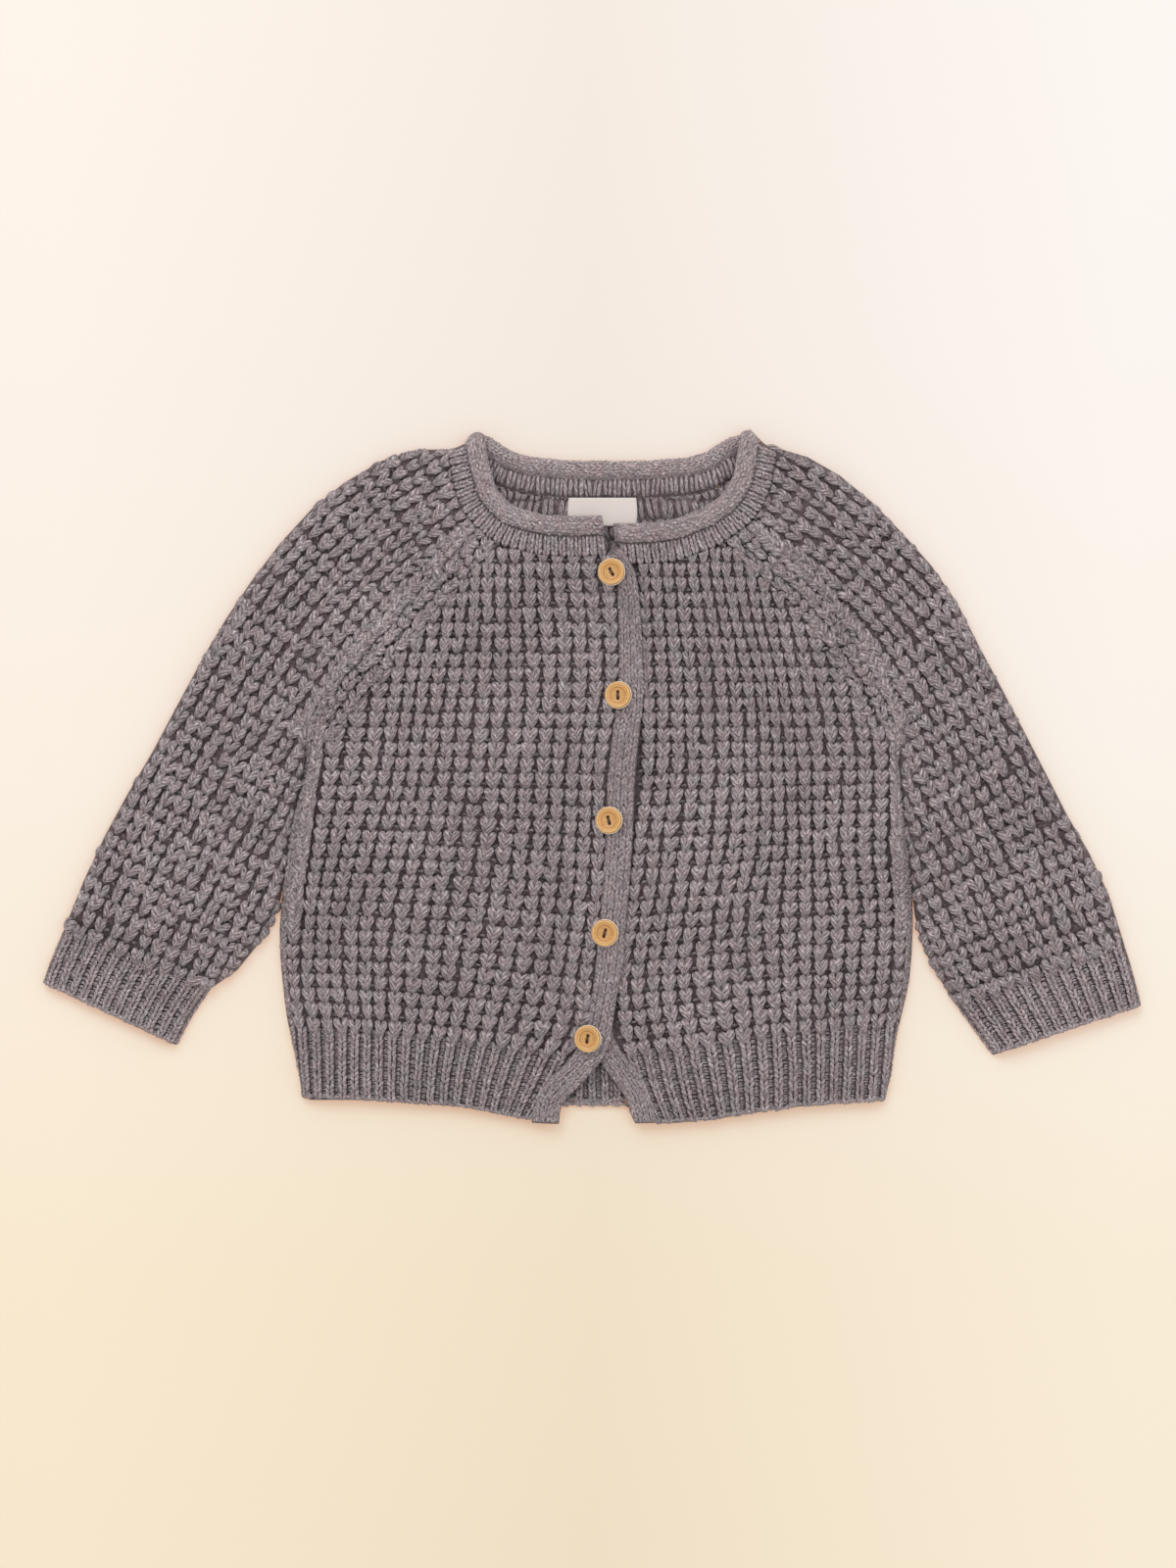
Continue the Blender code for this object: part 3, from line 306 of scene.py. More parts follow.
# A sleeve's middle column, from the cuff to the neck: start x, y, then lengths and compass directions
SLEEVE_SPINE = {
    "right": {"start": (-224.5, -82.5), "runs": [(163, 62.4), (35, 54), (30, 42), (60, 30)]},
    "left": {"start": (225.9, -87.8), "runs": [(154, 116.0), (35, 125), (30, 137), (60, 149)]},
}
SPINE_COLUMN = 3.0          # number of that column, counted from the outer fold
SPINE_BLUR = 41             # samples over which its bends are smoothed, and how often
SPINE_PASSES = 3

# x of the gaps between a front's columns: rows are heights y, columns are the gaps numbered in LINE_NUMBERS
LINE_NUMBERS = np.array([0, 3, 6, 9, 12, 15, 18])
LINE_HEIGHTS = np.array([-131.0, -118.2, -95.2, -67.6, -30.8, 6.0, 42.8, 79.6, 97.0])
FRONT_LINES = {
    "right": np.array([
        (-132.3, -113.8, -96.6, -76.8, -55.2, -33.9, -10.1),
        (-133.2, -113.9, -95.9, -75.0, -52.9, -28.1, -1.8),
        (-136.6, -115.9, -95.5, -71.5, -46.5, -21.4, 0.2),
        (-135.5, -116.2, -93.4, -67.9, -41.6, -17.5, 4.1),
        (-131.1, -108.8, -85.6, -62.3, -36.8, -14.0, 6.4),
        (-126.0, -99.6, -79.8, -57.5, -34.0, -12.2, 6.9),
        (-121.0, -95.2, -75.7, -54.3, -31.3, -9.2, 12.4),
        (-113.0, -89.0, -69.9, -52.0, -32.7, -10.4, 11.7),
        (-110.0, -86.0, -68.4, -51.4, -33.0, -12.5, 11.0),
    ]),
    "left": np.array([
        (136.4, 117.1, 96.8, 75.6, 51.5, 29.4, 9.0),
        (136.9, 117.1, 96.8, 75.2, 50.1, 27.0, 6.0),
        (139.4, 117.5, 96.1, 73.4, 47.2, 24.8, 4.0),
        (140.8, 118.9, 95.9, 71.8, 49.9, 28.5, 8.0),
        (138.9, 115.9, 96.8, 77.7, 55.4, 32.9, 12.4),
        (138.9, 116.8, 95.9, 78.2, 58.0, 36.6, 16.6),
        (136.0, 112.2, 92.2, 76.4, 56.8, 36.1, 16.1),
        (128.0, 105.0, 84.9, 68.8, 52.4, 33.8, 16.0),
        (124.0, 101.0, 82.6, 65.8, 49.7, 32.7, 15.6),
    ]),
}
# The same for the ribs of a front's hem, at its seam, its middle and its edge
HEM_LINES = {
    "right": np.array([
        (-132.3, -113.8, -96.6, -76.8, -55.2, -33.9, -10.1),
        (-131.6, -113.9, -96.8, -78.2, -58.4, -39.1, -18.0),
        (-131.2, -113.9, -96.8, -79.1, -60.7, -43.7, -27.7),
    ]),
    "left": np.array([
        (136.4, 117.1, 96.8, 75.6, 51.5, 29.4, 8.0),
        (135.2, 116.6, 97.5, 77.0, 54.7, 33.1, 15.5),
        (134.3, 115.9, 97.5, 77.4, 57.8, 38.9, 24.5),
    ]),
}


# Curves

def through(keys, values, at):
    """Smooth curve through (keys, values), with each key's slope taken from its neighbours."""
    keys = np.asarray(keys, float)
    values = np.asarray(values, float)
    slopes = np.gradient(values, keys)
    at = np.clip(np.asarray(at, float), keys[0], keys[-1])
    i = np.clip(np.searchsorted(keys, at) - 1, 0, len(keys) - 2)
    step = keys[i + 1] - keys[i]
    t = (at - keys[i]) / step
    return (
        values[i] * (1 + 2 * t) * (1 - t) ** 2
        + values[i + 1] * t * t * (3 - 2 * t)
        + step * slopes[i] * t * (1 - t) ** 2
        - step * slopes[i + 1] * t * t * (1 - t)
    )


def smooth(table, columns, at, keys=None):
    """Smooth curves through columns of a table, at row numbers or at other keys of its rows."""
    keys = np.arange(len(table)) if keys is None else keys
    return np.stack([through(keys, table[:, k], at) for k in columns], -1)


def straight(curve, keys, at):
    """Plan points of a curve at some keys, on straight lines between its own points."""
    return np.stack([np.interp(at, keys, curve[:, k]) for k in (0, 1)], -1)


def distances(line):
    """Distance along a line to each of its points."""
    return np.concatenate([[0], np.cumsum(np.linalg.norm(np.diff(line, axis=0), axis=1))])


def unit(vectors):
    return vectors / np.linalg.norm(vectors, axis=-1)[..., None]


def to_left(along):
    return np.stack([-along[..., 1], along[..., 0]], -1)


def ease(t):
    """0 below 0, 1 above 1, and smooth between them."""
    t = np.clip(t, 0.0, 1.0)
    return t * t * (3 - 2 * t)


def compass(degrees):
    """Unit vector in the plan, counter-clockwise from +X."""
    radians = np.radians(degrees)
    return np.stack([np.cos(radians), np.sin(radians)], -1)


def offset(curve, distance):
    """A curve in the plan moved to its left by a distance."""
    return curve + distance * to_left(unit(np.gradient(curve, axis=0)))


def side_x(y, side):
    return through(BODY_SIDES[:, 0], BODY_SIDES[:, 1 if side == "right" else 2], y)


def hem_ease(y):
    """The overlap's height fades out where the two hems part."""
    return ease((y - HEMS_PART["y"]) / HEMS_PART["fade"])


def overlap_lift(x, y):
    """How much the buttonhole side rises at a point, to lie over the button side's placket."""
    under = np.interp(y, PLACKET_LEFT[:, 3], PLACKET_LEFT[:, 2])
    across = ease((x - under + LIFT_EDGE + LIFT_RAMP) / LIFT_RAMP)
    return OVERLAP_LIFT * across * hem_ease(y) * ease((LIFT_TOP["y"] - y) / LIFT_TOP["fade"])


def fold_height(x, y):
    """Height of the soft hollows and ridges at a point."""
    total = np.zeros(np.broadcast(x, y).shape)
    for fx, fy, angle, half_length, half_width, height in FOLDS:
        ux, uy = compass(angle)
        along = ((x - fx) * ux + (y - fy) * uy) / half_length
        across = (-(x - fx) * uy + (y - fy) * ux) / half_width
        total = total + height * np.exp(-along ** 2 - across ** 2)
    return total


def neck_at(row):
    """Seam point, width direction and outward direction of the neckband, at an array of row numbers."""
    row = np.atleast_1d(np.asarray(row, float))
    rows = np.arange(len(NECK))
    x, y, angle, tip, z, turned = (through(rows, NECK[:, k], row) for k in range(6))
    z = z + np.where(row < SHOULDER_ROW["right"], overlap_lift(x, y), 0.0)
    flat = compass(angle)
    tip = np.radians(tip)
    turned = np.radians(turned)
    along = np.stack([flat[:, 0] * np.cos(tip), flat[:, 1] * np.cos(tip), np.sin(tip)], -1)
    up = np.stack([-flat[:, 0] * np.sin(tip), -flat[:, 1] * np.sin(tip), np.cos(tip)], -1)
    outward = np.cos(turned)[:, None] * up + np.sin(turned)[:, None] * np.cross(up, along)
    return np.stack([x, y, z], -1), along, outward


def neck_edge(row, gap=SEAM):
    """Plan points of a panel's edge, a gap away from the neckband."""
    point, along, _ = neck_at(row)
    return point[:, :2] - gap * along[:, :2]


def raglan_line(side):
    """Plan points of the front raglan seam, from the underarm to the neck."""
    table = SLEEVES[side]
    knots = table[UNDERARM_STATION:, 2:4].copy()
    knots[-1] = neck_edge(FRONT_RAGLAN_ROW[side])[0]
    stations = np.linspace(UNDERARM_STATION, len(table) - 1, SEAM_SAMPLES)
    return smooth(knots, (0, 1), stations, np.arange(UNDERARM_STATION, len(table)))


def front_neck_line(side):
    """A front's edge beside the neckband, from the raglan seam to the placket."""
    last = 0 if side == "right" else len(NECK) - 1
    return neck_edge(np.linspace(FRONT_RAGLAN_ROW[side], last, SEAM_SAMPLES))


def back_neck_line(gap):
    return neck_edge(np.linspace(BACK_RAGLAN_ROW["left"], BACK_RAGLAN_ROW["right"], SEAM_SAMPLES), gap)


def front_top(side):
    """Raglan and neck seams of a front, as one curve of rising x."""
    seam = offset(raglan_line(side), -SIGN[side] * SEAM / 2)
    curve = np.vstack([seam[:-1], front_neck_line(side)[1:]])
    return curve[np.argsort(curve[:, 0])]


def height_where(curve, x):
    return np.interp(x, curve[:, 0], curve[:, 1])


class Edge:
    """An outline curve in the plan. Its inside is to its left."""

    def __init__(self, points, samples=EDGE_SAMPLES):
        points = np.asarray(points, float)
        travelled = distances(points)
        self.length = travelled[-1]
        self.even = np.linspace(0, self.length, samples)
        self.points = straight(points, travelled, self.even)
        self.along = unit(np.gradient(self.points, axis=0))
        self.inward = to_left(self.along)

    def near(self, plan):
        """Distance inside the curve and inward direction, for an array of plan points."""
        distance = np.empty(len(plan))
        inward = np.empty((len(plan), 2))
        for start in range(0, len(plan), NEAR_CHUNK):
            chunk = slice(start, start + NEAR_CHUNK)
            part = plan[chunk]
            i = ((part[:, None] - self.points[None]) ** 2).sum(-1).argmin(1)
            inward[chunk] = self.inward[i]
            distance[chunk] = ((part - self.points[i]) * self.inward[i]).sum(-1)
        return distance, inward

    def at(self, travelled):
        """Points and inward directions at distances along the curve, which runs straight on past its ends."""
        travelled = np.asarray(travelled, float)
        within = np.clip(travelled, 0, self.length)
        along = unit(straight(self.along, self.even, within))
        point = straight(self.points, self.even, within) + along * (travelled - within)[..., None]
        return point, to_left(along)


def edge_of(points, backwards):
    return Edge(points[::-1] if backwards else points)


def rounded(distance, radius, top, limit, share=1.0):
    """A skin that turns down over an edge: its distance in from the edge, its height and its turn."""
    angle = np.clip((radius - distance) / radius, 0, limit)
    inset = np.where(distance >= radius, distance, radius - radius * np.sin(angle))
    height = top - radius + radius * np.cos(angle)
    return share * inset + (1 - share) * distance, share * height + (1 - share) * top, share * angle


# Surfaces: functions of column and row numbers that give points and normals

def front_height(x, y, side, base, top_curve):
    """Height of a front's skin, with its folds and the overlap."""
    low = height_where(HEM_SEAM, x)
    high = height_where(top_curve, x)
    folds = fold_height(x, y) * ease((y - low) / FOLD_FADE) * ease((high - y) / FOLD_FADE)
    if side == "right":
        return base + folds + overlap_lift(x, y)
    return base + folds * ease((x - LEFT_FOLDS_FROM) / FOLD_FADE)


def line_map(rows, table):
    """Smooth map from column and row numbers to x, from a table of x at some rows and at LINE_NUMBERS."""
    rows_at = np.linspace(rows[0], rows[-1], LINE_SAMPLES)
    down = smooth(table, range(len(LINE_NUMBERS)), rows_at, rows)
    dense = np.stack([through(LINE_NUMBERS, row, PLAN_COLUMNS) for row in down])

    def at(u, v):
        i = np.interp(v, rows_at, np.arange(LINE_SAMPLES))
        j = np.interp(u, PLAN_COLUMNS, np.arange(len(PLAN_COLUMNS)))
        low_i = np.minimum(np.floor(i).astype(int), LINE_SAMPLES - 2)
        low_j = np.minimum(np.floor(j).astype(int), len(PLAN_COLUMNS) - 2)
        di, dj = i - low_i, j - low_j
        near = dense[low_i, low_j] * (1 - dj) + dense[low_i, low_j + 1] * dj
        far = dense[low_i + 1, low_j] * (1 - dj) + dense[low_i + 1, low_j + 1] * dj
        return near * (1 - di) + far * di

    return at


def front_surface(side, plan, base, radius, turned, pitch):
    """Surface of a front or of its hem, and its height. turned(y) says how far its side turns down."""
    y_at, x_at = plan
    sign = SIGN[side]
    top_curve = front_top(side)

    def height(x, y):
        return front_height(x, y, side, base, top_curve)

    def at(u, v):
        y = y_at(u, v)
        x = x_at(np.maximum(u, 0), v, y) + sign * np.minimum(u, 0) * pitch
        edge = side_x(y, side)
        inset, drop, angle = rounded(sign * (x - edge), radius, 0.0, SIDE_TURN, turned(y))
        x = edge + sign * inset
        slope_x = height(x + 0.5, y) - height(x - 0.5, y)
        slope_y = height(x, y + 0.5) - height(x, y - 0.5)
        normal = np.stack([
            -slope_x * np.cos(angle) - sign * np.sin(angle), -slope_y * np.cos(angle), np.cos(angle),
        ], -1)
        return np.stack([x, y, height(x, y) + drop], -1), unit(normal)

    return at, height


def front_plan(side):
    """y and x of a front's knit at column and row numbers. Rows start along the hem seam and level out."""
    lines = line_map(LINE_HEIGHTS, FRONT_LINES[side])
    low = np.full_like(PLAN_COLUMNS, SEAM_START)
    for _ in range(SETTLE_STEPS):
        low = height_where(HEM_SEAM, lines(PLAN_COLUMNS, low))
    level = low[PLAN_COLUMNS <= FRONT_COLUMNS[side]].mean()

    def y_at(u, v):
        start = np.interp(u, PLAN_COLUMNS, low)
        return start + ROW * v + (level - start) * ease(v / LEVEL_ROWS)

    return y_at, lambda u, v, y: lines(u, y)


def hem_plan(side):
    """The same for a front's hem: row 0 is its edge and the last row its seam."""
    lines = line_map(np.array([0.0, RIB_ROWS / 2, RIB_ROWS]), HEM_LINES[side][::-1])
    low = height_where(HEM_EDGE, lines(PLAN_COLUMNS, 0.0 * PLAN_COLUMNS))
    high = height_where(HEM_SEAM, lines(PLAN_COLUMNS, 0.0 * PLAN_COLUMNS + RIB_ROWS))

    def y_at(u, v):
        start = np.interp(u, PLAN_COLUMNS, low)
        return start + (np.interp(u, PLAN_COLUMNS, high) - start) * v / RIB_ROWS

    return y_at, lambda u, v, y: lines(u, v)


def shoulder_corner(side):
    """Where a sleeve's outer fold meets the neckband."""
    _, along, _ = neck_at(SHOULDER_ROW[side])
    across = to_left(along[0]) * SIGN[side]
    return neck_edge(SHOULDER_ROW[side], SLEEVE_NECK_GAP)[0] + BODY_WALL * across / np.linalg.norm(across)


def sleeve_edges(side):
    """A sleeve's outer fold, its inner edge below the underarm, its raglan seam and its neck end."""
    knots = SLEEVES[side].copy()
    knots[-1, :2] = shoulder_corner(side)
    fold = smooth(knots, (0, 1), np.linspace(0, len(knots) - 1, FOLD_SAMPLES))
    inner = smooth(knots, (2, 3), np.linspace(0, UNDERARM_STATION, FOLD_SAMPLES // 2))
    neck = neck_edge(np.linspace(SHOULDER_ROW[side], FRONT_RAGLAN_ROW[side], SEAM_SAMPLES), SLEEVE_NECK_GAP)
    right = side == "right"
    return (
        edge_of(fold, right), edge_of(inner, not right),
        edge_of(raglan_line(side), not right), edge_of(neck, right),
    )


def tube_surface(plan, fold, inner, height, radius, swell, folds_on, inner_share):
    """Outside of a flattened tube. plan(u, v) is its unrolled plan, which runs on past the fold."""
    half = height / 2

    def at(u, v):
        shape = np.shape(u)
        spot = plan(u, v).reshape(-1, 2)
        from_fold, fold_inward = fold.near(spot)
        from_inner, inner_inward = inner.near(spot)
        share = inner_share(spot[:, 1])
        middle = np.clip(from_fold - half, 0, None) / np.clip(from_fold + from_inner - half - radius, 1, None)
        rise = swell * np.sin(np.pi * np.clip(middle, 0, 1))
        if folds_on:
            rise = rise + fold_height(spot[:, 0], spot[:, 1]) * ease(middle * 4) * ease((1 - middle) * 5)
        rise = np.maximum(rise, 0.0)
        inset, z, angle = rounded(from_fold, half, height, math.pi)
        inset_in, z_in, angle_in = rounded(from_inner, radius, height, INNER_TURN, share)
        at_fold = from_fold < half
        at_inner = ~at_fold & (from_inner < radius)
        point = spot.copy()
        point[at_fold] += (fold_inward * (inset - from_fold)[:, None])[at_fold]
        point[at_inner] += (inner_inward * (inset_in - from_inner)[:, None])[at_inner]
        turn = np.where(at_fold, angle, np.where(at_inner, angle_in, 0.0))
        outward = np.where(at_fold[:, None], -fold_inward, -inner_inward)
        level = np.where(at_fold, z, np.where(at_inner, z_in, height)) + rise * np.cos(turn).clip(0)
        normal = np.concatenate([outward * np.sin(turn)[:, None], np.cos(turn)[:, None]], -1)
        return np.concatenate([point, level[:, None]], -1).reshape(*shape, 3), normal.reshape(*shape, 3)

    return at


def sleeve_plan(side):
    """Unrolled plan of a sleeve: columns run parallel to its spine, at their own pitch."""
    spec = SLEEVE_SPINE[side]
    lengths, angles = np.array(spec["runs"], float).T
    middles = np.cumsum(lengths) - lengths / 2
    dense = np.linspace(0, lengths.sum(), SPINE_SAMPLES)
    directions = np.interp(dense, middles, angles)
    for _ in range(SPINE_PASSES):
        padded = np.pad(directions, SPINE_BLUR // 2, mode="edge")
        directions = np.convolve(padded, np.ones(SPINE_BLUR) / SPINE_BLUR, mode="valid")
    steps = compass(directions) * (dense[1] - dense[0])
    spine = Edge(np.array(spec["start"]) + np.vstack([[0, 0], np.cumsum(steps[:-1], axis=0)]), SPINE_SAMPLES)

    def at(u, v):
        narrower = SLEEVE_NARROWS["by"] * ease((v - SLEEVE_NARROWS["row"]) / SLEEVE_NARROWS["rows"])
        across = (u - SPINE_COLUMN) * (SLEEVE_PITCH - narrower)
        skew = SLEEVE_SLANT["share"] * across * ease(1 - v / SLEEVE_SLANT["rows"])
        point, inward = spine.at(v * SLEEVE_ROW + skew)
        return point - SIGN[side] * inward * across[..., None]

    return at


def cuff_plan(curves):
    """Unrolled plan of a cuff between its edges: row 0 is its open edge and the last row its seam."""
    keys = np.linspace(0, 1, CUFF_SAMPLES)

    def at(u, v):
        station = np.clip(1 - v / RIB_ROWS, -0.2, 1.2)
        past = (station - np.clip(station, 0, 1))[..., None]
        outer, inner = (straight(curve, keys, station) + (curve[-1] - curve[0]) * past for curve in curves)
        return outer + (inner - outer) * (u / CUFF_RIBS)[..., None]

    return at


def height_surface(plan, height):
    """A surface that faces up, at a height given over a plan."""
    def at(u, v):
        spot = plan(u, v)
        z = height(spot[..., 0], spot[..., 1])
        normal = np.zeros((*np.shape(z), 3))
        normal[..., 2] = 1.0
        return np.concatenate([spot, z[..., None]], -1), normal
    return at


def flat_surface(plan, level):
    return height_surface(plan, lambda x, y: np.full_like(x, level))


def seam_column(edge, first, width, row, from_end):
    """Plan of columns that run along a seam."""
    def plan(u, v):
        travelled = edge.length - v * row if from_end else v * row
        point, inward = edge.at(travelled)
        return point + inward * (first + u * width)[..., None]

    return plan


def swept_surface(section, pitch, row):
    """Surface of the neckband or its roll, and how many columns it has.

    section(row numbers, v in mm) gives its distance along the band's width, its height outward, and how its
    normal leans along the width. Columns are spaced along the band's outside.
    """
    dense = np.linspace(0, len(NECK) - 1, NECK_SAMPLES)
    point, along, outward = neck_at(dense)
    travelled = distances(point + along * BAND_WIDTH / 2 + outward * BAND_WALL)

    def at(u, v):
        number = np.interp(u * pitch, travelled, dense)
        point, along, outward = (a.reshape(*np.shape(u), 3) for a in neck_at(np.ravel(number)))
        across, height, lean = section(number, v * row)
        spot = point + along * across[..., None] + outward * height[..., None]
        normal = along * np.sin(lean)[..., None] + outward * np.cos(lean)[..., None]
        return spot, normal

    return at, int(travelled[-1] / pitch)


def band_section(number, v):
    return v, np.full_like(v, BAND_WALL), np.zeros_like(v)


def band_inside(number, v):
    return v, np.zeros_like(v), np.full_like(v, math.pi)


def roll_section(number, v):
    """Round the curl: v is 0 at its free edge, and its outer side lies at ROLL_TOP."""
    _, _, outward = neck_at(np.ravel(number))
    facing = outward[:, 2].reshape(np.shape(v))
    narrow = 1 - (1 - BACK_ROLL_SHARE) * (1 - facing) / 2
    squash = 1 - (1 - FOLD_ROLL_SHARE) * (1 - np.abs(facing))
    half_wide, half_high = ROLL_WIDTH / 2, ROLL_HEIGHT / 2
    angle = v / ((half_wide + half_high) / 2)
    across = NECK_SIZE - half_wide + half_wide * np.cos(angle)
    height = half_high + half_high * np.sin(angle)
    lean = math.pi / 2 - angle
    return BAND_WIDTH + (across - BAND_WIDTH) * narrow, height * squash, lean


def placket_surface(table, lift, columns, row):
    """Surface of a placket, from the panel's side over its top and down its open edge, its rows and pitch."""
    at = np.linspace(0, len(table) - 1, PLACKET_SAMPLES)
    curves = smooth(table, (0, 1), at), smooth(table, (2, 3), at)
    inner, edge = curves
    travelled = distances((inner + edge) / 2)
    # its section, by angle round it: share of the width, height and lean
    angles = np.linspace(0, np.pi, PLACKET_ARC)
    share = 0.5 - 0.5 * np.sign(np.cos(angles)) * np.abs(np.cos(angles)) ** 0.55
    height = PLACKET_WALL * np.abs(np.sin(angles)) ** 0.4
    width = np.linalg.norm(edge - inner, axis=1).mean()
    arc = np.concatenate([[0], np.cumsum(np.hypot(np.diff(share * width), np.diff(height)))])
    lean_at = np.arctan2(np.gradient(-height), np.gradient(share * width))

    def surface(u, v):
        place = u / columns * arc[-1]
        s, h, lean = (np.interp(place, arc, values) for values in (share, height, lean_at))
        start, end = (straight(curve, travelled, v * row) for curve in curves)
        spot = start + (end - start) * s[..., None]
        across = unit(end - start)
        bed = FRONT_BED + lift * hem_ease(spot[..., 1])
        point = np.concatenate([spot, (bed + h)[..., None]], -1)
        normal = np.concatenate([across * np.sin(lean)[..., None], np.cos(lean)[..., None]], -1)
        return point, normal

    return surface, int(travelled[-1] / row), arc[-1] / columns


# Stitches: closed tubes of yarn, in millimetres round the middle of a cell

def ring_faces(count, sides):
    """Triangles of a closed tube of rings, whose two end points come after the rings."""
    faces = []
    for i in range(count - 1):
        for j in range(sides):
            k = (j + 1) % sides
            a, b, c, d = i * sides + j, i * sides + k, (i + 1) * sides + k, (i + 1) * sides + j
            faces += [(a, b, c), (a, c, d)]
    last = (count - 1) * sides
    for j in range(sides):
        k = (j + 1) % sides
        faces += [(count * sides, k, j), (count * sides + 1, last + j, last + k)]
    return np.array(faces)


def tube(table, sides):
    """Closed tube through a table's points x, y, z, with its half width and half height at each.

    Gives points, triangles and yarn UVs.
    """
    line, wide, high = table[:, :3], table[:, 3], table[:, 4]
    along = unit(np.gradient(line, axis=0))
    across = unit(np.cross(along, (0.0, 0.0, 1.0)))
    up = np.cross(across, along)
    turn = np.linspace(0, 2 * math.pi, sides, endpoint=False) - math.pi / 2
    rings = (
        line[:, None]
        + across[:, None] * (np.cos(turn)[None, :, None] * wide[:, None, None])
        + up[:, None] * (np.sin(turn)[None, :, None] * high[:, None, None])
    )
    ends = [line[0] - along[0] * wide[0] * 0.6, line[-1] + along[-1] * wide[-1] * 0.6]
    travelled = distances(line)
    girth = math.pi * (np.mean(wide) + np.mean(high))
    u = np.repeat(travelled, sides)
    v = np.tile(np.arange(sides) / sides * girth, len(line))
    uv = np.vstack([np.stack([u, v], -1), [[-0.5, girth / 2], [travelled[-1] + 0.5, girth / 2]]])
    return np.vstack([rings.reshape(-1, 3), ends]), ring_faces(len(line), sides), uv


def merge(parts):
    """Points, triangles and UVs of several parts as one."""
    points, faces, uvs = zip(*parts)
    starts = np.cumsum([0] + [len(p) for p in points])
    return np.vstack(points), np.vstack([f + start for f, start in zip(faces, starts)]), np.vstack(uvs)


def join(tubes):
    """Tubes as one part, each with its own stretch of the yarn's pattern."""
    return merge([(p, f, uv + (37.0 * number, 0.0)) for number, (p, f, uv) in enumerate(tubes)])


def mirrored(tubed):
    points, faces, uv = tubed
    return points * (-1, 1, 1), faces[:, ::-1], uv + (11.0, 0.0)


# Legs of stitches, from foot to head, and single purls: across, along, height, half width, half height
BODY_LEG = np.array([
    (0.42, -4.2, -1.45, 0.80, 0.72),
    (0.60, -3.1, -0.42, 1.10, 1.02),
    (0.92, -1.6, 0.22, 1.42, 1.20),
    (1.30, -0.1, 0.62, 1.74, 1.30),
    (1.66, 1.4, 0.84, 1.98, 1.34),
    (1.90, 2.6, 0.62, 1.86, 1.20),
    (2.02, 3.4, -0.02, 1.25, 0.86),
])
SLEEVE_LEG = np.array([
    (0.42, -4.3, -1.45, 0.76, 0.72),
    (0.62, -3.2, -0.48, 1.06, 1.02),
    (0.98, -1.7, 0.22, 1.40, 1.22),
    (1.38, -0.2, 0.72, 1.70, 1.32),
    (1.74, 1.4, 0.95, 1.80, 1.30),
    (2.00, 2.6, 0.62, 1.62, 1.14),
    (2.14, 3.4, -0.10, 1.06, 0.80),
])
SEAM_LEG = np.array([
    (0.85, -4.2, -0.70, 1.00, 0.70),
    (1.15, -2.9, 0.00, 1.60, 0.98),
    (1.45, -1.2, 0.35, 1.90, 1.15),
    (1.65, 0.6, 0.50, 1.95, 1.20),
    (1.75, 2.2, 0.40, 1.80, 1.10),
    (1.80, 3.5, -0.20, 1.20, 0.78),
])
KNOB_LEG = np.array([
    (0.60, -3.1, -0.80, 0.85, 0.60),
    (0.95, -1.7, 0.05, 1.45, 0.95),
    (1.30, 0.2, 0.45, 1.70, 1.10),
    (1.50, 1.9, 0.25, 1.50, 1.00),
    (1.60, 2.9, -0.45, 0.90, 0.60),
])
MESH_LEG = np.array([
    (0.12, -1.75, -0.45, 0.46, 0.42),
    (0.45, -0.60, 0.18, 0.60, 0.55),
    (0.84, 0.60, 0.28, 0.60, 0.55),
    (1.18, 1.70, -0.30, 0.46, 0.42),
])
CURL = np.array([
    (-1.30, -0.35, -0.50, 0.55, 0.45),
    (-0.45, 0.25, 0.05, 0.75, 0.60),
    (0.45, 0.25, 0.05, 0.75, 0.60),
    (1.30, -0.35, -0.50, 0.55, 0.45),
])
RIB_LEG = np.array([
    (0.50, -1.50, -0.40, 0.58, 0.50),
    (0.74, -0.50, 0.22, 0.80, 0.66),
    (0.98, 0.50, 0.42, 0.84, 0.68),
    (1.22, 1.35, -0.10, 0.58, 0.50),
])
FINE_LEG = np.array([
    (0.42, -1.45, -0.35, 0.48, 0.42),
    (0.62, -0.50, 0.15, 0.68, 0.52),
    (0.82, 0.50, 0.25, 0.72, 0.54),
    (1.02, 1.30, -0.15, 0.48, 0.42),
])
LONG_LEG = np.array([
    (0.70, -3.9, -0.60, 0.55, 0.50),
    (0.82, -2.4, 0.10, 0.80, 0.66),
    (0.92, 0.0, 0.30, 0.86, 0.72),
    (1.00, 2.4, 0.10, 0.80, 0.66),
    (0.92, 3.9, -0.60, 0.55, 0.50),
])
PURL_BAR = np.array([
    (-1.5, -0.3, -0.5, 0.65, 0.55),
    (-0.6, 0.2, 0.0, 0.80, 0.65),
    (0.6, 0.2, 0.0, 0.80, 0.65),
    (1.5, -0.3, -0.5, 0.65, 0.55),
])
PURL_BUMP = np.array([
    (-1.05, -0.20, -0.45, 0.42, 0.40),
    (0.00, 0.15, 0.10, 0.58, 0.50),
    (1.05, -0.20, -0.45, 0.42, 0.40),
])


def variants(count, seed, make):
    """Several versions of a stitch, with the same faces."""
    rng = np.random.default_rng(SEED + seed)
    made = [make(rng) for _ in range(count)]
    return np.array([m[0] for m in made]), made[0][1], made[0][2]


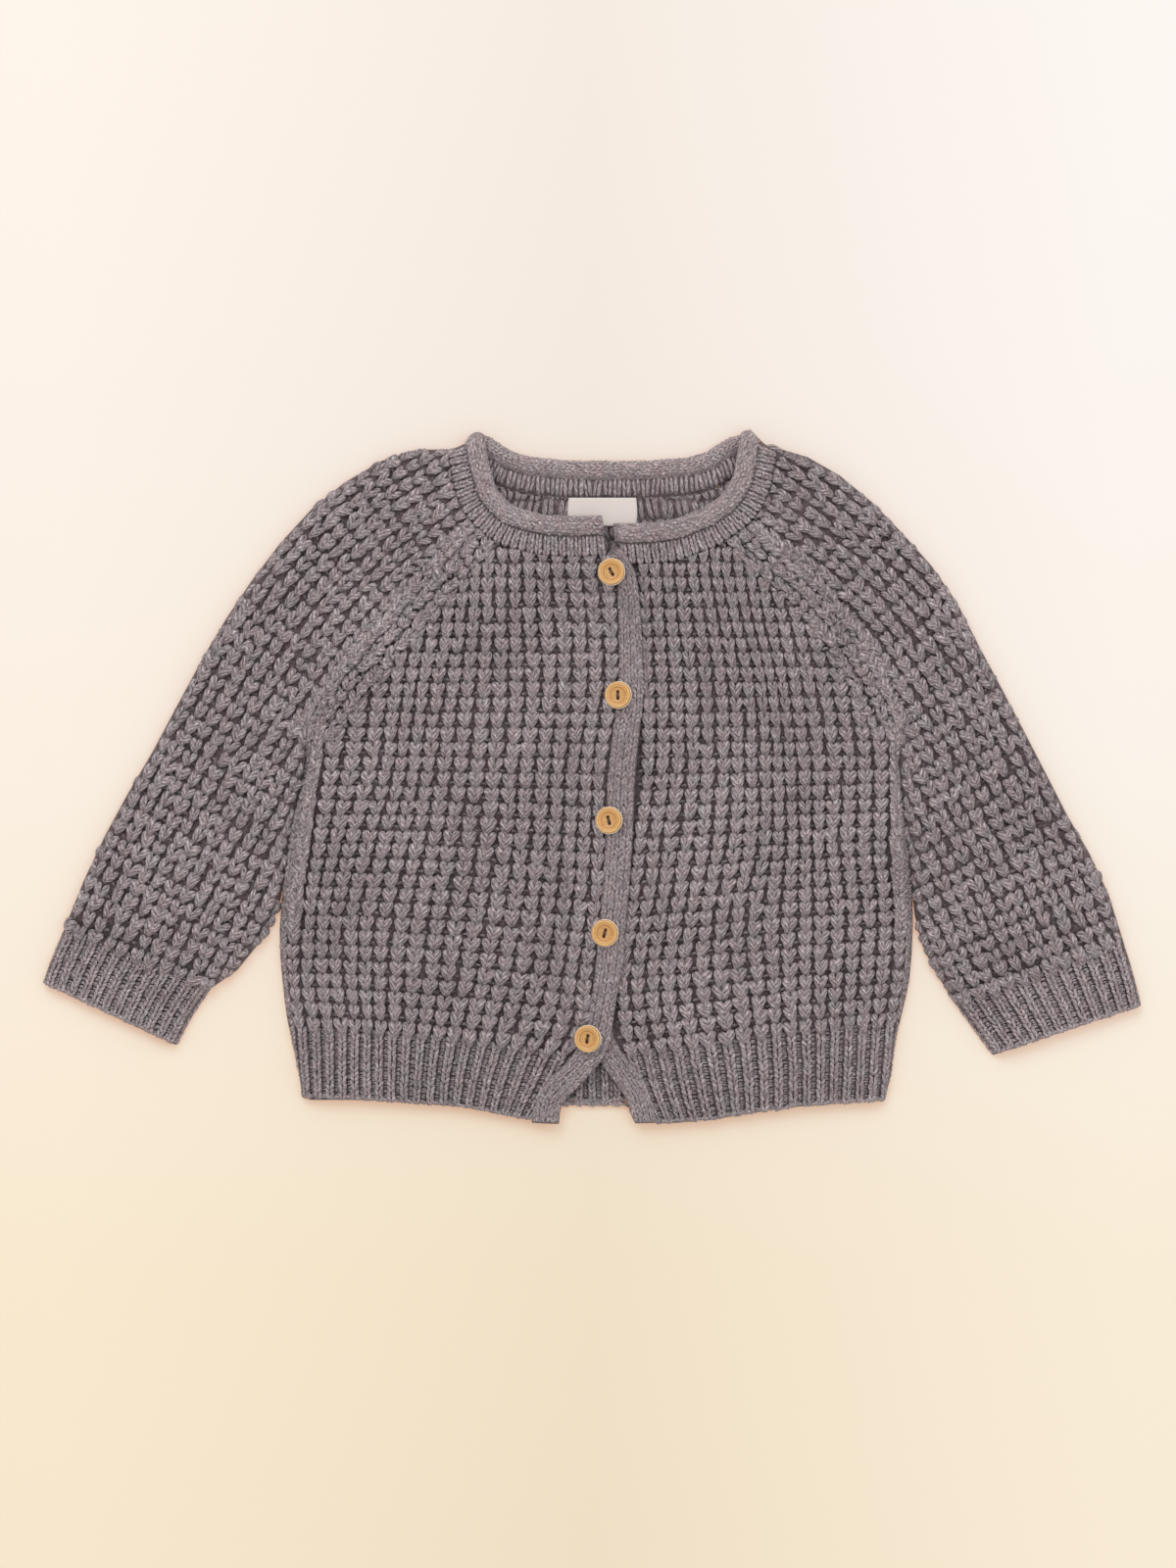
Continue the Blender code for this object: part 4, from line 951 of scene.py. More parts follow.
def stitch(leg, rng, sides=6, extra=(), spread=0.08, rough=0.12):
    """One V stitch with slightly unlike legs, and extra bits of yarn: their lines, places and scatter."""
    tubes = []
    for k in (0, 1):
        one = leg.copy()
        one[:, 0] *= 1 + rng.normal(0, spread)
        one[:, 3:] *= 1 + rng.normal(0, spread * 0.7)
        one[:, :3] += rng.normal(0, rough * 0.5, (len(leg), 3))
        one[:, 2] += rng.normal(0, rough)
        one[:, 1] += rng.normal(0, rough)
        made = tube(one, sides)
        tubes.append(made if k == 0 else mirrored(made))
    for line, place, scatter in extra:
        moved = line.copy()
        moved[:, :3] = line[:, :3] + place + rng.normal(0, scatter, 3)
        tubes.append(tube(moved, 5))
    return join(tubes)


def legs(leg, count, seed, sides=6, spread=0.08, rough=0.12, extra=()):
    """Versions of one V stitch, all with the same extra bits."""
    return variants(count, seed, lambda rng: stitch(leg, rng, sides, extra, spread, rough))


def strands(line, count, seed, rough, sides):
    """Versions of a single bit of yarn. line(rng) gives its table."""
    def make(rng):
        one = line(rng).copy()
        one[:, :3] += rng.normal(0, rough, (len(one), 3))
        return tube(one, sides)

    return variants(count, seed, make)


def curl(rng):
    """A short bent bit of yarn that lies any way round."""
    turn = rng.uniform(0, 2 * math.pi)
    line = CURL.copy()
    line[:, 0] = CURL[:, 0] * math.cos(turn) - CURL[:, 1] * math.sin(turn)
    line[:, 1] = CURL[:, 0] * math.sin(turn) + CURL[:, 1] * math.cos(turn)
    return line


def body_stitches():
    return legs(BODY_LEG, 10, 0, 6, 0.10, 0.16, [(PURL_BAR, (3.7, -1.7, -1.9), 0.15)])


def sleeve_stitches():
    return legs(SLEEVE_LEG, 10, 1, 6, 0.16, 0.27, [(PURL_BAR, (3.5, -1.7, -1.9), 0.15)])


def brushed_stitches():
    def make(rng):
        places = [(across, along, 0.95) for across in (-1.8, 1.8) for along in (-2.3, 0.0, 2.3)]
        curls = [(curl(rng), place, (0.6, 0.5, 0.15)) for place in places]
        return stitch(SEAM_LEG, rng, 6, curls, 0.12, 0.25)

    return variants(12, 6, make)


def knob_stitches():
    def make(rng):
        curls = [(curl(rng), (rng.uniform(-1.8, 1.8), rng.uniform(-1.6, 1.6), 0.9), 0.2) for _ in range(3)]
        return stitch(KNOB_LEG, rng, 6, curls, 0.16, 0.28)

    return variants(14, 14, make)


def purls():
    return strands(lambda rng: PURL_BUMP * (1.2, 1.2, 1.5, 1.2, 1.25), 12, 15, 0.14, 5)


def lumps():
    return strands(lambda rng: curl(rng) * (1.0, 1.0, 1.0, 1.35, 1.25), 12, 13, 0.1, 6)


def edge_bumps():
    return strands(lambda rng: PURL_BAR * (0.95, 0.8, 0.7, 1.05, 1.05) + (0, 0, 0.1, 0, 0), 6, 7, 0.10, 6)


def rib_stitches(gap, depth=1.0):
    bumps = [(PURL_BUMP, (gap / 2, along, -depth), 0.16) for along in (-0.55, 0.55)]
    return legs(RIB_LEG, 8, 2, 6, 0.08, 0.10, bumps)


def fine_stitches(scale):
    return legs(RIB_LEG * (1.0, 1.0, 0.6, 1.0, 1.0) * scale, 6, 3)


# Laying stitches, and the cloth's objects

def placed(name, data):
    """A new object of the scene."""
    obj = bpy.data.objects.new(name, data)
    bpy.context.scene.collection.objects.link(obj)
    return obj


def mesh_object(name, points, faces, uv, material):
    """A smooth mesh of triangles in metres, with yarn UVs in millimetres."""
    mesh = bpy.data.meshes.new(name)
    mesh.vertices.add(len(points))
    mesh.vertices.foreach_set("co", (points * MM).astype(np.float32).ravel())
    mesh.loops.add(faces.size)
    mesh.loops.foreach_set("vertex_index", faces.astype(np.int32).ravel())
    mesh.polygons.add(len(faces))
    mesh.polygons.foreach_set("loop_start", np.arange(0, faces.size, 3, dtype=np.int32))
    mesh.update(calc_edges=True)
    if uv is not None:
        layer = mesh.uv_layers.new(name="UVMap")
        layer.data.foreach_set("uv", uv[faces.ravel()].astype(np.float32).ravel())
    mesh.shade_smooth()
    mesh.validate()
    mesh.materials.append(material)
    return placed(name, mesh)


TURN_SCATTER = 4.0          # degrees
SIZE_SCATTER = 0.045
SHIFT_SCATTER = 0.18        # mm
YARN_LENGTH = 400           # mm of yarn's pattern, in which each stitch has its own place


def lay(surface, cells, stitches, pitch, row, rng, raised=0.0, wander=1.0, wide=1.0, turned=0.0):
    """Points, triangles and UVs of stitches laid at cells (column, row) of a surface."""
    shapes, faces, uv = stitches
    cells = np.asarray(cells, float)
    local = shapes[rng.integers(len(shapes), size=len(cells))]
    turn = np.radians(turned + rng.normal(0, TURN_SCATTER, len(cells)) * wander)
    size = 1 + rng.normal(0, SIZE_SCATTER, (len(cells), 2)) * wander
    shift = rng.normal(0, SHIFT_SCATTER, (len(cells), 3)) * wander
    x = local[..., 0] * size[:, :1] * wide + shift[:, :1]
    y = local[..., 1] * size[:, 1:] + shift[:, 1:2]
    a = x * np.cos(turn)[:, None] - y * np.sin(turn)[:, None]
    b = x * np.sin(turn)[:, None] + y * np.cos(turn)[:, None]
    spot, normal = surface(cells[:, :1] + a / pitch, cells[:, 1:] + b / row)
    height = local[..., 2] + raised - SINK + shift[:, 2:] * 0.8
    points = (spot + normal * height[..., None]).reshape(-1, 3)
    # the surface may run the other way round, which would turn the stitches inside out
    here, up = surface(cells[:, :1], cells[:, 1:])
    step_u = surface(cells[:, :1] + 0.1, cells[:, 1:])[0] - here
    step_v = surface(cells[:, :1], cells[:, 1:] + 0.1)[0] - here
    if np.median((np.cross(step_u, step_v) * up).sum(-1)) < 0:
        faces = faces[:, ::-1]
    all_faces = (faces[None] + (np.arange(len(cells)) * shapes.shape[1])[:, None, None]).reshape(-1, 3)
    yarn = uv[None] + rng.uniform(0, YARN_LENGTH, (len(cells), 1, 2))
    return points, all_faces, yarn.reshape(-1, 2)


def tuck(points, seam, margin=0.2, depth=0.45, most=2.2):
    """Pulls what lies past a seam back to it and down into it."""
    distance, inward = seam.near(points[:, :2])
    past = np.maximum(margin - distance, 0)
    points[:, :2] += inward * past[:, None]
    points[:, 2] -= np.minimum(past, most) * depth
    return points


def sink_under(points, seam, reach, depth=1.7, ramp=2.5):
    """Lowers what lies nearer to a seam than reach, where other columns lie over it."""
    distance, _ = seam.near(points[:, :2])
    points[:, 2] -= np.clip((reach - distance) / ramp, 0, 1) * depth
    return points


def inside(surface, cells, seam, least):
    """Cells whose middle lies at least so far inside a seam."""
    spot, _ = surface(cells[:, 0], cells[:, 1])
    return cells[seam.near(spot[:, :2])[0] > least]


def between(surface, cells, low, high):
    """Cells whose middle lies between two y."""
    y = surface(cells[:, 0], cells[:, 1])[0][:, 1]
    return cells[(y > low) & (y < high)]


def facing_up(surface, cells, least):
    """Cells whose surface faces up at least so far."""
    _, normal = surface(cells[:, 0], cells[:, 1])
    return cells[normal[:, 2] > least]


def grid(columns, rows):
    u, v = np.meshgrid(columns, rows, indexing="ij")
    return np.stack([u.ravel(), v.ravel()], -1)


def staggered(columns, rows):
    """Cells whose odd columns lie half a row on."""
    cells = grid(columns, rows)
    cells[:, 1] += 0.5 * (np.round(cells[:, 0] - columns[0]) % 2)
    return cells


WELD = 1e-6                 # metres within which a solid's corners are one


def ground(node, material, sink, spread=SPREAD):
    """A thin shell on a solid's form, its face lowered to make room for the stitches on it."""
    work = bmesh.new()
    work.from_mesh(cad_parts[node].data)
    bmesh.ops.remove_doubles(work, verts=work.verts, dist=WELD)
    work.normal_update()
    for vert in work.verts:
        lowered = sink * MM * min(1.0, max(0.0, vert.normal.z) * 1.5)
        vert.co.x += vert.normal.x * spread * MM
        vert.co.y += vert.normal.y * spread * MM
        vert.co.z -= lowered
    mesh = bpy.data.meshes.new(node + "_ground")
    work.to_mesh(mesh)
    work.free()
    mesh.shade_smooth()
    mesh.materials.append(material)
    obj = placed(node + "_ground", mesh)
    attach(obj, "root")
    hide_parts(node)
    return obj


def knitted(name, made, material):
    """Stitches as one object."""
    made[0][:, 2] = np.maximum(made[0][:, 2], LOWEST)
    obj = mesh_object(name, *made, material)
    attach(obj, "root")
    return obj


def cover(node, kind, parts, yarn, base_wool, sink, spread=SPREAD):
    """A piece's cloth: its ground, and the stitches on it as one object."""
    shell = ground(node, base_wool, sink, spread)
    knitted(f"{node}_{kind}", merge(parts), yarn)


def dice(start, side="right"):
    """A piece's own random numbers; the left one's seed is 10 more than the right one's."""
    return np.random.default_rng(SEED + start + (0 if side == "right" else 10))


# Materials

BLACK = (0.0, 0.0, 0.0)
WHITE = (1.0, 1.0, 1.0)


class Nodes:
    """Short calls for building a material's nodes."""

    def __init__(self, name):
        self.material = bpy.data.materials.new(name)
        self.material.use_nodes = True
        self.tree = self.material.node_tree
        self.shader = self.tree.nodes["Principled BSDF"]
        self.place = self.add("ShaderNodeTexCoord")
        self.local = self.place.outputs["Object"]

    def add(self, kind, **settings):
        node = self.tree.nodes.new(kind)
        inputs = settings.pop("inputs", {})
        for key, value in settings.items():
            setattr(node, key, value)
        for key, value in inputs.items():
            if hasattr(value, "node"):
                self.tree.links.new(value, node.inputs[key])
            else:
                node.inputs[key].default_value = value
        return node

    def math(self, operation, a, b=0.0):
        return self.add("ShaderNodeMath", operation=operation, inputs={0: a, 1: b}).outputs[0]

    def weigh(self, first, share, second, rest):
        """first * share + second * rest"""
        return self.math("ADD", self.math("MULTIPLY", first, share), self.math("MULTIPLY", second, rest))

    def swing(self, start, value, middle, scale):
        """start + (value - middle) * scale"""
        return self.math("ADD", start, self.math("MULTIPLY", self.math("SUBTRACT", value, middle), scale))

    def noise(self, vector, scale, **more):
        inputs = {"Vector": vector, "Scale": scale, "Detail": 2.0, **more}
        return self.add("ShaderNodeTexNoise", inputs=inputs).outputs[0]

    def ramp(self, factor, stops):
        node = self.add("ShaderNodeValToRGB", inputs={"Fac": factor})
        elements = node.color_ramp.elements
        for _ in range(len(stops) - 2):
            elements.new(0.5)
        for element, (place, colour) in zip(elements, stops):
            element.position = place
            element.color = (*colour, 1.0)
        return node.outputs["Color"]

    def step(self, value, low, high):
        """Black below, white above."""
        return self.ramp(value, [(low, BLACK), (high, WHITE)])

    def mix(self, factor, first, second, blend="MIX"):
        inputs = {0: factor, 6: first, 7: second}
        return self.add("ShaderNodeMix", data_type="RGBA", blend_type=blend, inputs=inputs).outputs[2]

    def multiply(self, colour, factor):
        return self.mix(1.0, colour, factor, "MULTIPLY")

    def bump(self, strength, distance, height):
        inputs = {"Strength": strength, "Distance": distance, "Height": height}
        node = self.add("ShaderNodeBump", inputs=inputs)
        self.link(node.outputs[0], "Normal")

    def link(self, output, socket):
        self.tree.links.new(output, self.shader.inputs[socket])

    def set(self, **values):
        for key, value in values.items():
            self.shader.inputs[key.replace("_", " ")].default_value = value


WOOL_TONES = [
    (0.0, (0.080, 0.064, 0.071)),
    (0.27, (0.185, 0.154, 0.166)),
    (0.50, (0.307, 0.267, 0.283)),
    (0.73, (0.463, 0.412, 0.433)),
    (1.0, (0.745, 0.690, 0.715)),
]
# Strands' twist, streaks per millimetre along and around the yarn, ply width, and how far the tones spread
YARNS = {
    "thick": {"twist": 0.45, "along": 0.70, "around": 1.70, "ply": 1.5, "spread": 2.9},
    "fine": {"twist": 0.30, "along": 0.75, "around": 1.80, "ply": 1.3, "spread": 2.2},
}
GROUND_TONE_SPREAD = 2.2


def wool(name, yarn=None, tone=(0.94, 0.94, 0.94)):
    """Heathered wool: plied strands, streaks of lighter and darker fibre, and a soft nap."""
    n = Nodes(name)
    spread = GROUND_TONE_SPREAD
    if yarn:
        spec = YARNS[yarn]
        spread = spec["spread"]
        split = n.add("ShaderNodeSeparateXYZ", inputs={0: n.place.outputs["UV"]})
        along, around = split.outputs[0], split.outputs[1]
        twisted = n.math("ADD", around, n.math("MULTIPLY", along, spec["twist"]))
        streak = n.add("ShaderNodeCombineXYZ", inputs={
            0: n.math("MULTIPLY", along, spec["along"]), 1: n.math("MULTIPLY", twisted, spec["around"])})
        vector, scale = streak.outputs[0], 1.0
        ply = n.math("ABSOLUTE", n.math("SINE", n.math("MULTIPLY", twisted, math.pi / spec["ply"])))
    else:
        vector, scale = n.local, 900.0
        ply = n.noise(n.local, 500.0)
    streaks = n.noise(vector, scale, Roughness=0.6)
    fine = n.noise(vector, scale * 2.3, Roughness=0.7)
    patch = n.noise(n.local, 380.0)
    broad = n.noise(n.local, 24.0)
    mixed = n.weigh(streaks, 0.60, fine, 0.40)
    mixed = n.swing(mixed, patch, 0.5, 0.22)
    mixed = n.swing(mixed, broad, 0.5, 0.10)
    if yarn:
        mixed = n.swing(mixed, ply, 0.62, 0.11)
    spreading = n.swing(0.5, mixed, 0.5, spread)
    colour = n.ramp(spreading, [(p, tuple(c * k for c, k in zip(rgb, tone))) for p, rgb in WOOL_TONES])
    tint = n.noise(n.local, 130.0, Detail=3.0, Roughness=0.65)
    hue = n.ramp(tint, [(0.36, (1.045, 0.98, 0.99)), (0.64, (0.96, 1.0, 1.01))])
    n.link(n.multiply(colour, hue), "Base Color")
    height = n.math("ADD", n.weigh(ply, 0.8, streaks, 1.0), n.math("MULTIPLY", fine, 0.9))
    n.bump(0.9, 0.00045, height)
    n.set(Roughness=0.95, Sheen_Weight=0.25, Sheen_Roughness=0.5, Specular_IOR_Level=0.1)
    n.set(Sheen_Tint=(0.9, 0.86, 0.87, 1.0))
    return n.material


HONEY = [(0.2, (0.40, 0.21, 0.068)), (0.5, (0.59, 0.345, 0.130)), (0.8, (0.72, 0.46, 0.205))]
BUTTON_RADIUS = 0.008       # metres out from its middle, and up, over which a button's painted shade and painted highlight are given
BUTTON_HEIGHT = 0.004
# painted shade in the groove under the face, and a painted highlight on the rim below it
RIM_SHADE = (0.085, 0.042, 0.024)
RIM_HIGHLIGHT = (0.95, 0.76, 0.60)


def wood(name):
    """Honey-coloured turned wood, with fine grain and rings from the lathe, and painted shade and a painted
    highlight on its dish and rim.
    """
    n = Nodes(name)
    stretched = n.add("ShaderNodeMapping", inputs={"Vector": n.local, "Scale": (1.0, 0.12, 1.0)})
    grain = n.noise(stretched.outputs[0], 1500.0, Detail=4.0)
    rings = n.add("ShaderNodeTexWave", wave_type="RINGS", rings_direction="Z", inputs={
        "Vector": n.local, "Scale": 260.0, "Distortion": 1.6, "Detail": 2.0, "Detail Scale": 1.2})
    mixed = n.weigh(grain, 0.6, rings.outputs["Fac"], 0.4)
    colour = n.ramp(mixed, HONEY)
    flat = n.add("ShaderNodeVectorMath", operation="MULTIPLY", inputs={0: n.local, 1: (1.0, 1.0, 0.0)})
    length = n.add("ShaderNodeVectorMath", operation="LENGTH", inputs={0: flat.outputs[0]}).outputs["Value"]
    radius = n.math("MULTIPLY", length, 1.0 / BUTTON_RADIUS)
    height = n.add("ShaderNodeSeparateXYZ", inputs={0: n.local}).outputs[2]
    height = n.math("MULTIPLY", height, 1.0 / BUTTON_HEIGHT)
    # painted shade where the dish slopes, in the groove and low on the rim, and a painted highlight on the
    # rim's edge
    dish = n.ramp(radius, [(0.30, (0.93, 0.88, 0.84)), (0.43, (0.80, 0.68, 0.58)), (0.53, (0.90, 0.84, 0.79)),
                           (0.60, WHITE)])
    side = n.ramp(height, [(0.08, (0.12, 0.065, 0.035)), (0.14, RIM_HIGHLIGHT), (0.31, RIM_HIGHLIGHT),
                           (0.33, RIM_SHADE), (0.46, RIM_SHADE)])
    high = n.step(height, 0.48, 0.54)
    inward = n.step(radius, 0.66, 0.70)
    face = n.multiply(colour, dish)
    n.link(n.mix(inward, face, n.mix(high, side, face)), "Base Color")
    n.bump(0.35, 0.0001, mixed)
    n.set(Roughness=0.42, Specular_IOR_Level=0.4)
    return n.material


def satin(name):
    """Smooth off-white woven satin."""
    n = Nodes(name)
    inputs = {"Vector": n.local, "Scale": 900.0, "Distortion": 0.6}
    weave = n.add("ShaderNodeTexWave", bands_direction="Y", inputs=inputs)
    mixed = n.weigh(weave.outputs["Fac"], 0.5, n.noise(n.local, 2500.0), 0.5)
    n.link(n.ramp(mixed, [(0.1, (0.57, 0.52, 0.50)), (0.9, (0.65, 0.60, 0.58))]), "Base Color")
    n.bump(0.3, 0.00005, mixed)
    n.set(Roughness=0.4, Sheen_Weight=0.2)
    return n.material


def cotton(name):
    """Dark brown sewing thread."""
    n = Nodes(name)
    twist = n.noise(n.local, 4000.0)
    n.link(n.ramp(twist, [(0.3, (0.045, 0.022, 0.012)), (0.7, (0.11, 0.058, 0.03))]), "Base Color")
    n.set(Roughness=0.8)
    return n.material


# Cloth

RAGLAN_CLEAR = 10.5         # the fronts' own columns end this far from the raglan seam
RAGLAN_REACH = 12.0         # and sink under the seam's columns this far from it
SLEEVE_CLEAR = 5.5          # both for the sleeves
EDGE_ROW = np.array([0.15])
EDGE_RAISED = 0.30


def make_front(side, yarn, base_wool):
    rng = dice(10, side)
    top = FRONT_BED + BODY_WALL
    surface, height = front_surface(
        side, front_plan(side), top, EDGE_RADIUS, lambda y: ease((UNDERARM_Y - y) / TURN_FADE), FRONT_PITCH)
    gauge = (FRONT_PITCH, ROW, rng)
    right = side == "right"
    raglan_edge = edge_of(raglan_line(side), right)
    neck_seam = edge_of(front_neck_line(side), right)
    cells = grid(np.arange(-1, FRONT_COLUMNS[side]) + 0.5, np.arange(40) + 0.5)
    spot, _ = surface(cells[:, 0], cells[:, 1])
    fuzzy = (cells[:, 0] < 0) & (spot[:, 1] > FUZZ_END_Y)
    clear = (raglan_edge.near(spot[:, :2])[0] > RAGLAN_CLEAR) | (spot[:, 1] < UNDERARM_Y - 3)
    cells = inside(surface, cells[~fuzzy & clear], neck_seam, -1.0)
    raised = -0.8 * (cells[:, :1] < 0)
    panel = lay(surface, cells, body_stitches(), *gauge, raised, wander=1.15)
    above = panel[0][:, 1] > UNDERARM_Y
    panel[0][above] = sink_under(panel[0][above], raglan_edge, RAGLAN_REACH)
    tuck(panel[0], neck_seam)
    # two columns along the raglan seam
    _, pitch, row = FRONT_SEAM
    strip = height_surface(seam_column(raglan_edge, *FRONT_SEAM, right), height)
    cells = staggered(np.array([0.5, 1.5]), np.arange(-1, 23) + 0.5)
    knobs = lay(strip, cells, knob_stitches(), pitch, row, rng, raised=0.85, wander=2.2)
    cells = grid(np.array([0.02, 1.0, 2.0]), np.arange(-1.0, 23.0, 0.42))
    filling = lay(strip, cells, lumps(), pitch, row, rng, raised=-0.7, wander=3.0)
    seam = merge([knobs, filling])
    tuck(seam[0], neck_seam)
    # the edge where the side turns down, and the smooth, brushed column beside it below the underarm
    half_rows = np.arange(46) * 0.5 + 0.25
    cells = between(surface, grid(np.array([-1.28, -1.75]), half_rows), -np.inf, UNDERARM_Y - 2)
    turned = lay(surface, cells, fine_stitches(1.5), *gauge, wander=1.5)
    cells = between(surface, grid(np.array([-0.52]), half_rows), FUZZ_END_Y, UNDERARM_Y + 4)
    brushed = lay(surface, cells, brushed_stitches(), *gauge, raised=0.3, wander=1.2, wide=0.9)
    cells = grid(np.array([-1.0, -1.35, -1.7, -2.0]), np.arange(0.1, 30, 0.28))
    cells = between(surface, cells, FUZZ_END_Y, UNDERARM_Y + 7)
    nap = lay(surface, cells, lumps(), *gauge, raised=0.4, wander=3.0)
    parts = [panel, seam, turned, brushed, nap]
    cover(f"front_{side}", "stitches", parts, yarn, base_wool, GROUND_SINKS["front"], FRONT_SPREAD)


def ribbed(surface, count, first, pitch, rng, depth, wide, bump_columns):
    """Ribs of a hem or a cuff, and the bumps on its cast-off edge."""
    gauge = (pitch, RIB_ROW, rng)
    cells = grid(np.arange(first, count) + 0.5, np.arange(RIB_ROWS + 1) + 0.5)
    shapes = rib_stitches(pitch, depth)
    ribs = lay(surface, cells, shapes, *gauge, raised=0.5, wander=0.5, wide=wide(cells[:, :1]))
    cells = grid(np.arange(*bump_columns, BUMP_PITCH / pitch), EDGE_ROW)
    return [ribs, lay(surface, cells, edge_bumps(), *gauge, raised=EDGE_RAISED, wander=1.5)]


def make_hem(side, yarn, base_wool):
    surface, _ = front_surface(
        side, hem_plan(side), HEM_BED + RIB_WALL, RIB_EDGE_RADIUS, np.ones_like, HEM_PITCH)
    count = FRONT_COLUMNS[side]

    def wide(u):
        return 1.25 - 0.15 * ease((u - 4) / 5) if side == "right" else 1.15

    parts = ribbed(surface, count, -2, HEM_PITCH, dice(30, side), 1.0, wide, (-1.3, count))
    cover(f"hem_front_{side}", "ribs", parts, yarn, base_wool, GROUND_SINKS["hem_front"])


def make_sleeve(side, yarn, base_wool):
    rng = dice(50, side)
    fold, inner, seam, neck = sleeve_edges(side)
    plan = sleeve_plan(side)

    def inner_share(y):
        return ease((UNDERARM_Y - y) / INNER_FADE)

    form = (fold, inner, SLEEVE_HEIGHT, EDGE_RADIUS, SLEEVE_SWELL, True, inner_share)
    surface = tube_surface(plan, *form)
    cells = grid(np.arange(-3, 16) + 0.5, np.arange(46) + 0.5)
    spot = plan(cells[:, 0], cells[:, 1])
    from_fold, from_inner, from_seam, from_neck = (edge.near(spot)[0] for edge in (fold, inner, seam, neck))
    beside = np.where(spot[:, 1] < UNDERARM_Y, from_inner > -3.0, from_seam > SLEEVE_CLEAR)
    keep = (from_fold > -6.0) & (from_neck > -1.5) & beside
    raised = -0.5 * (from_fold[keep, None] < 4)
    tube_stitches = lay(
        surface, cells[keep], sleeve_stitches(), SLEEVE_PITCH, SLEEVE_ROW, rng, raised, wander=1.9)
    points = tube_stitches[0]
    above = points[:, 1] > UNDERARM_Y
    points[above] = sink_under(points[above], seam, SLEEVE_CLEAR)
    points[above] = tuck(points[above], seam)
    # one column along the raglan seam
    _, pitch, row = SLEEVE_SEAM
    strip = tube_surface(seam_column(seam, *SLEEVE_SEAM, side == "left"), *form)
    cells = grid(np.array([0.5]), np.arange(28) + 0.5)
    column = lay(strip, cells, knob_stitches(), pitch, row, rng, raised=0.95, wander=1.8, wide=1.12)
    cells = grid(np.array([0.02, 0.35, 0.7, 1.0]), np.arange(0.0, 27.6, 0.5))
    filling = lay(strip, cells, lumps(), pitch, row, rng, wander=3.0)
    made = merge([tube_stitches, column, filling])
    high = made[0][:, 1] > 100
    made[0][high] = tuck(made[0][high], neck)
    cover(f"sleeve_{side}", "stitches", [made], yarn, base_wool, GROUND_SINKS["sleeve"])


def make_cuff(side, yarn, base_wool):
    table = CUFFS[side]
    at = np.linspace(0, len(table) - 1, CUFF_SAMPLES)
    outer, inner = smooth(table, (0, 1), at), smooth(table, (2, 3), at)
    right = side == "right"
    surface = tube_surface(
        cuff_plan((outer, inner)), edge_of(outer, not right), edge_of(inner, right),
        CUFF_HEIGHT, RIB_EDGE_RADIUS, CUFF_SWELL, False, np.ones_like)
    pitch = np.linalg.norm(outer - inner, axis=1).mean() / CUFF_RIBS
    bump_columns = (-0.5, CUFF_RIBS + 0.5)
    parts = ribbed(surface, CUFF_RIBS + 1, -1, pitch, dice(70, side), 0.5, lambda u: 1.1, bump_columns)
    cover(f"cuff_{side}", "ribs", parts, yarn, base_wool, GROUND_SINKS["cuff"])


def make_back(yarn, base_wool):
    """What shows of the back: its inside below the neck, and its hem between the two fronts'."""
    rng = dice(90)
    pitch, row = 7.2, 9.0
    middle_x, neck_y, seam_y = 4.0, 129.5, 121.0

    def plan(u, v):
        x = middle_x + (u - 11) * pitch
        y = neck_y + (v - 3) * row
        return np.stack([x + np.clip(middle_x - x, -40, 40) * 0.006 * (y - seam_y), y], -1)

    surface = flat_surface(plan, BACK_WALL)
    neck_seam = Edge(back_neck_line(BACK_NECK_GAP))
    cells = inside(surface, grid(np.arange(1, 21) + 0.5, np.arange(4) + 0.5), neck_seam, -2.5)
    shapes = legs(LONG_LEG * (1.85, 1.2, 1.6, 1.85, 1.5), 8, 8, 6, 0.12, 0.2)
    made = lay(surface, cells, shapes, pitch, row, rng, raised=-0.1, wander=1.3)
    tuck(made[0], neck_seam)
    # a low ridge along the neck seam, whose columns and rows are in millimetres
    ridge = Edge(back_neck_line(0.4))
    along_neck = flat_surface(seam_column(ridge, 0.0, 1.0, 1.0, False), BACK_WALL)
    cells = grid(np.array([-0.8, 0.3]), np.arange(-0.5, ridge.length + 1.0, 1.5))
    seam = lay(along_neck, cells, lumps(), 1.0, 1.0, rng, raised=-0.9, wander=2.0)
    cover("back", "stitches", [made, seam], yarn, base_wool, GROUND_SINKS["back"])

    def plan_of_hem(u, v):
        x = 3.0 + (u - 5) * BACK_HEM_PITCH
        return np.stack([x, BACK_HEM_EDGE_Y - BACK_HEM_DIP + v * RIB_ROW], -1)

    surface = flat_surface(plan_of_hem, RIB_WALL)
    gauge = (BACK_HEM_PITCH, RIB_ROW, rng)
    cells = grid(np.arange(10) + 0.5, np.arange(RIB_ROWS) + 0.5)
    ribs = lay(surface, cells, rib_stitches(BACK_HEM_PITCH), *gauge, wander=0.6)
    cells = grid(np.arange(0.2, 10, BUMP_PITCH / BACK_HEM_PITCH), np.array([0.30, 1.25]))
    bumps = lay(surface, cells, edge_bumps(), *gauge, wander=1.5)
    cover("hem_back", "ribs", [ribs, bumps], yarn, base_wool, GROUND_SINKS["hem_back"])


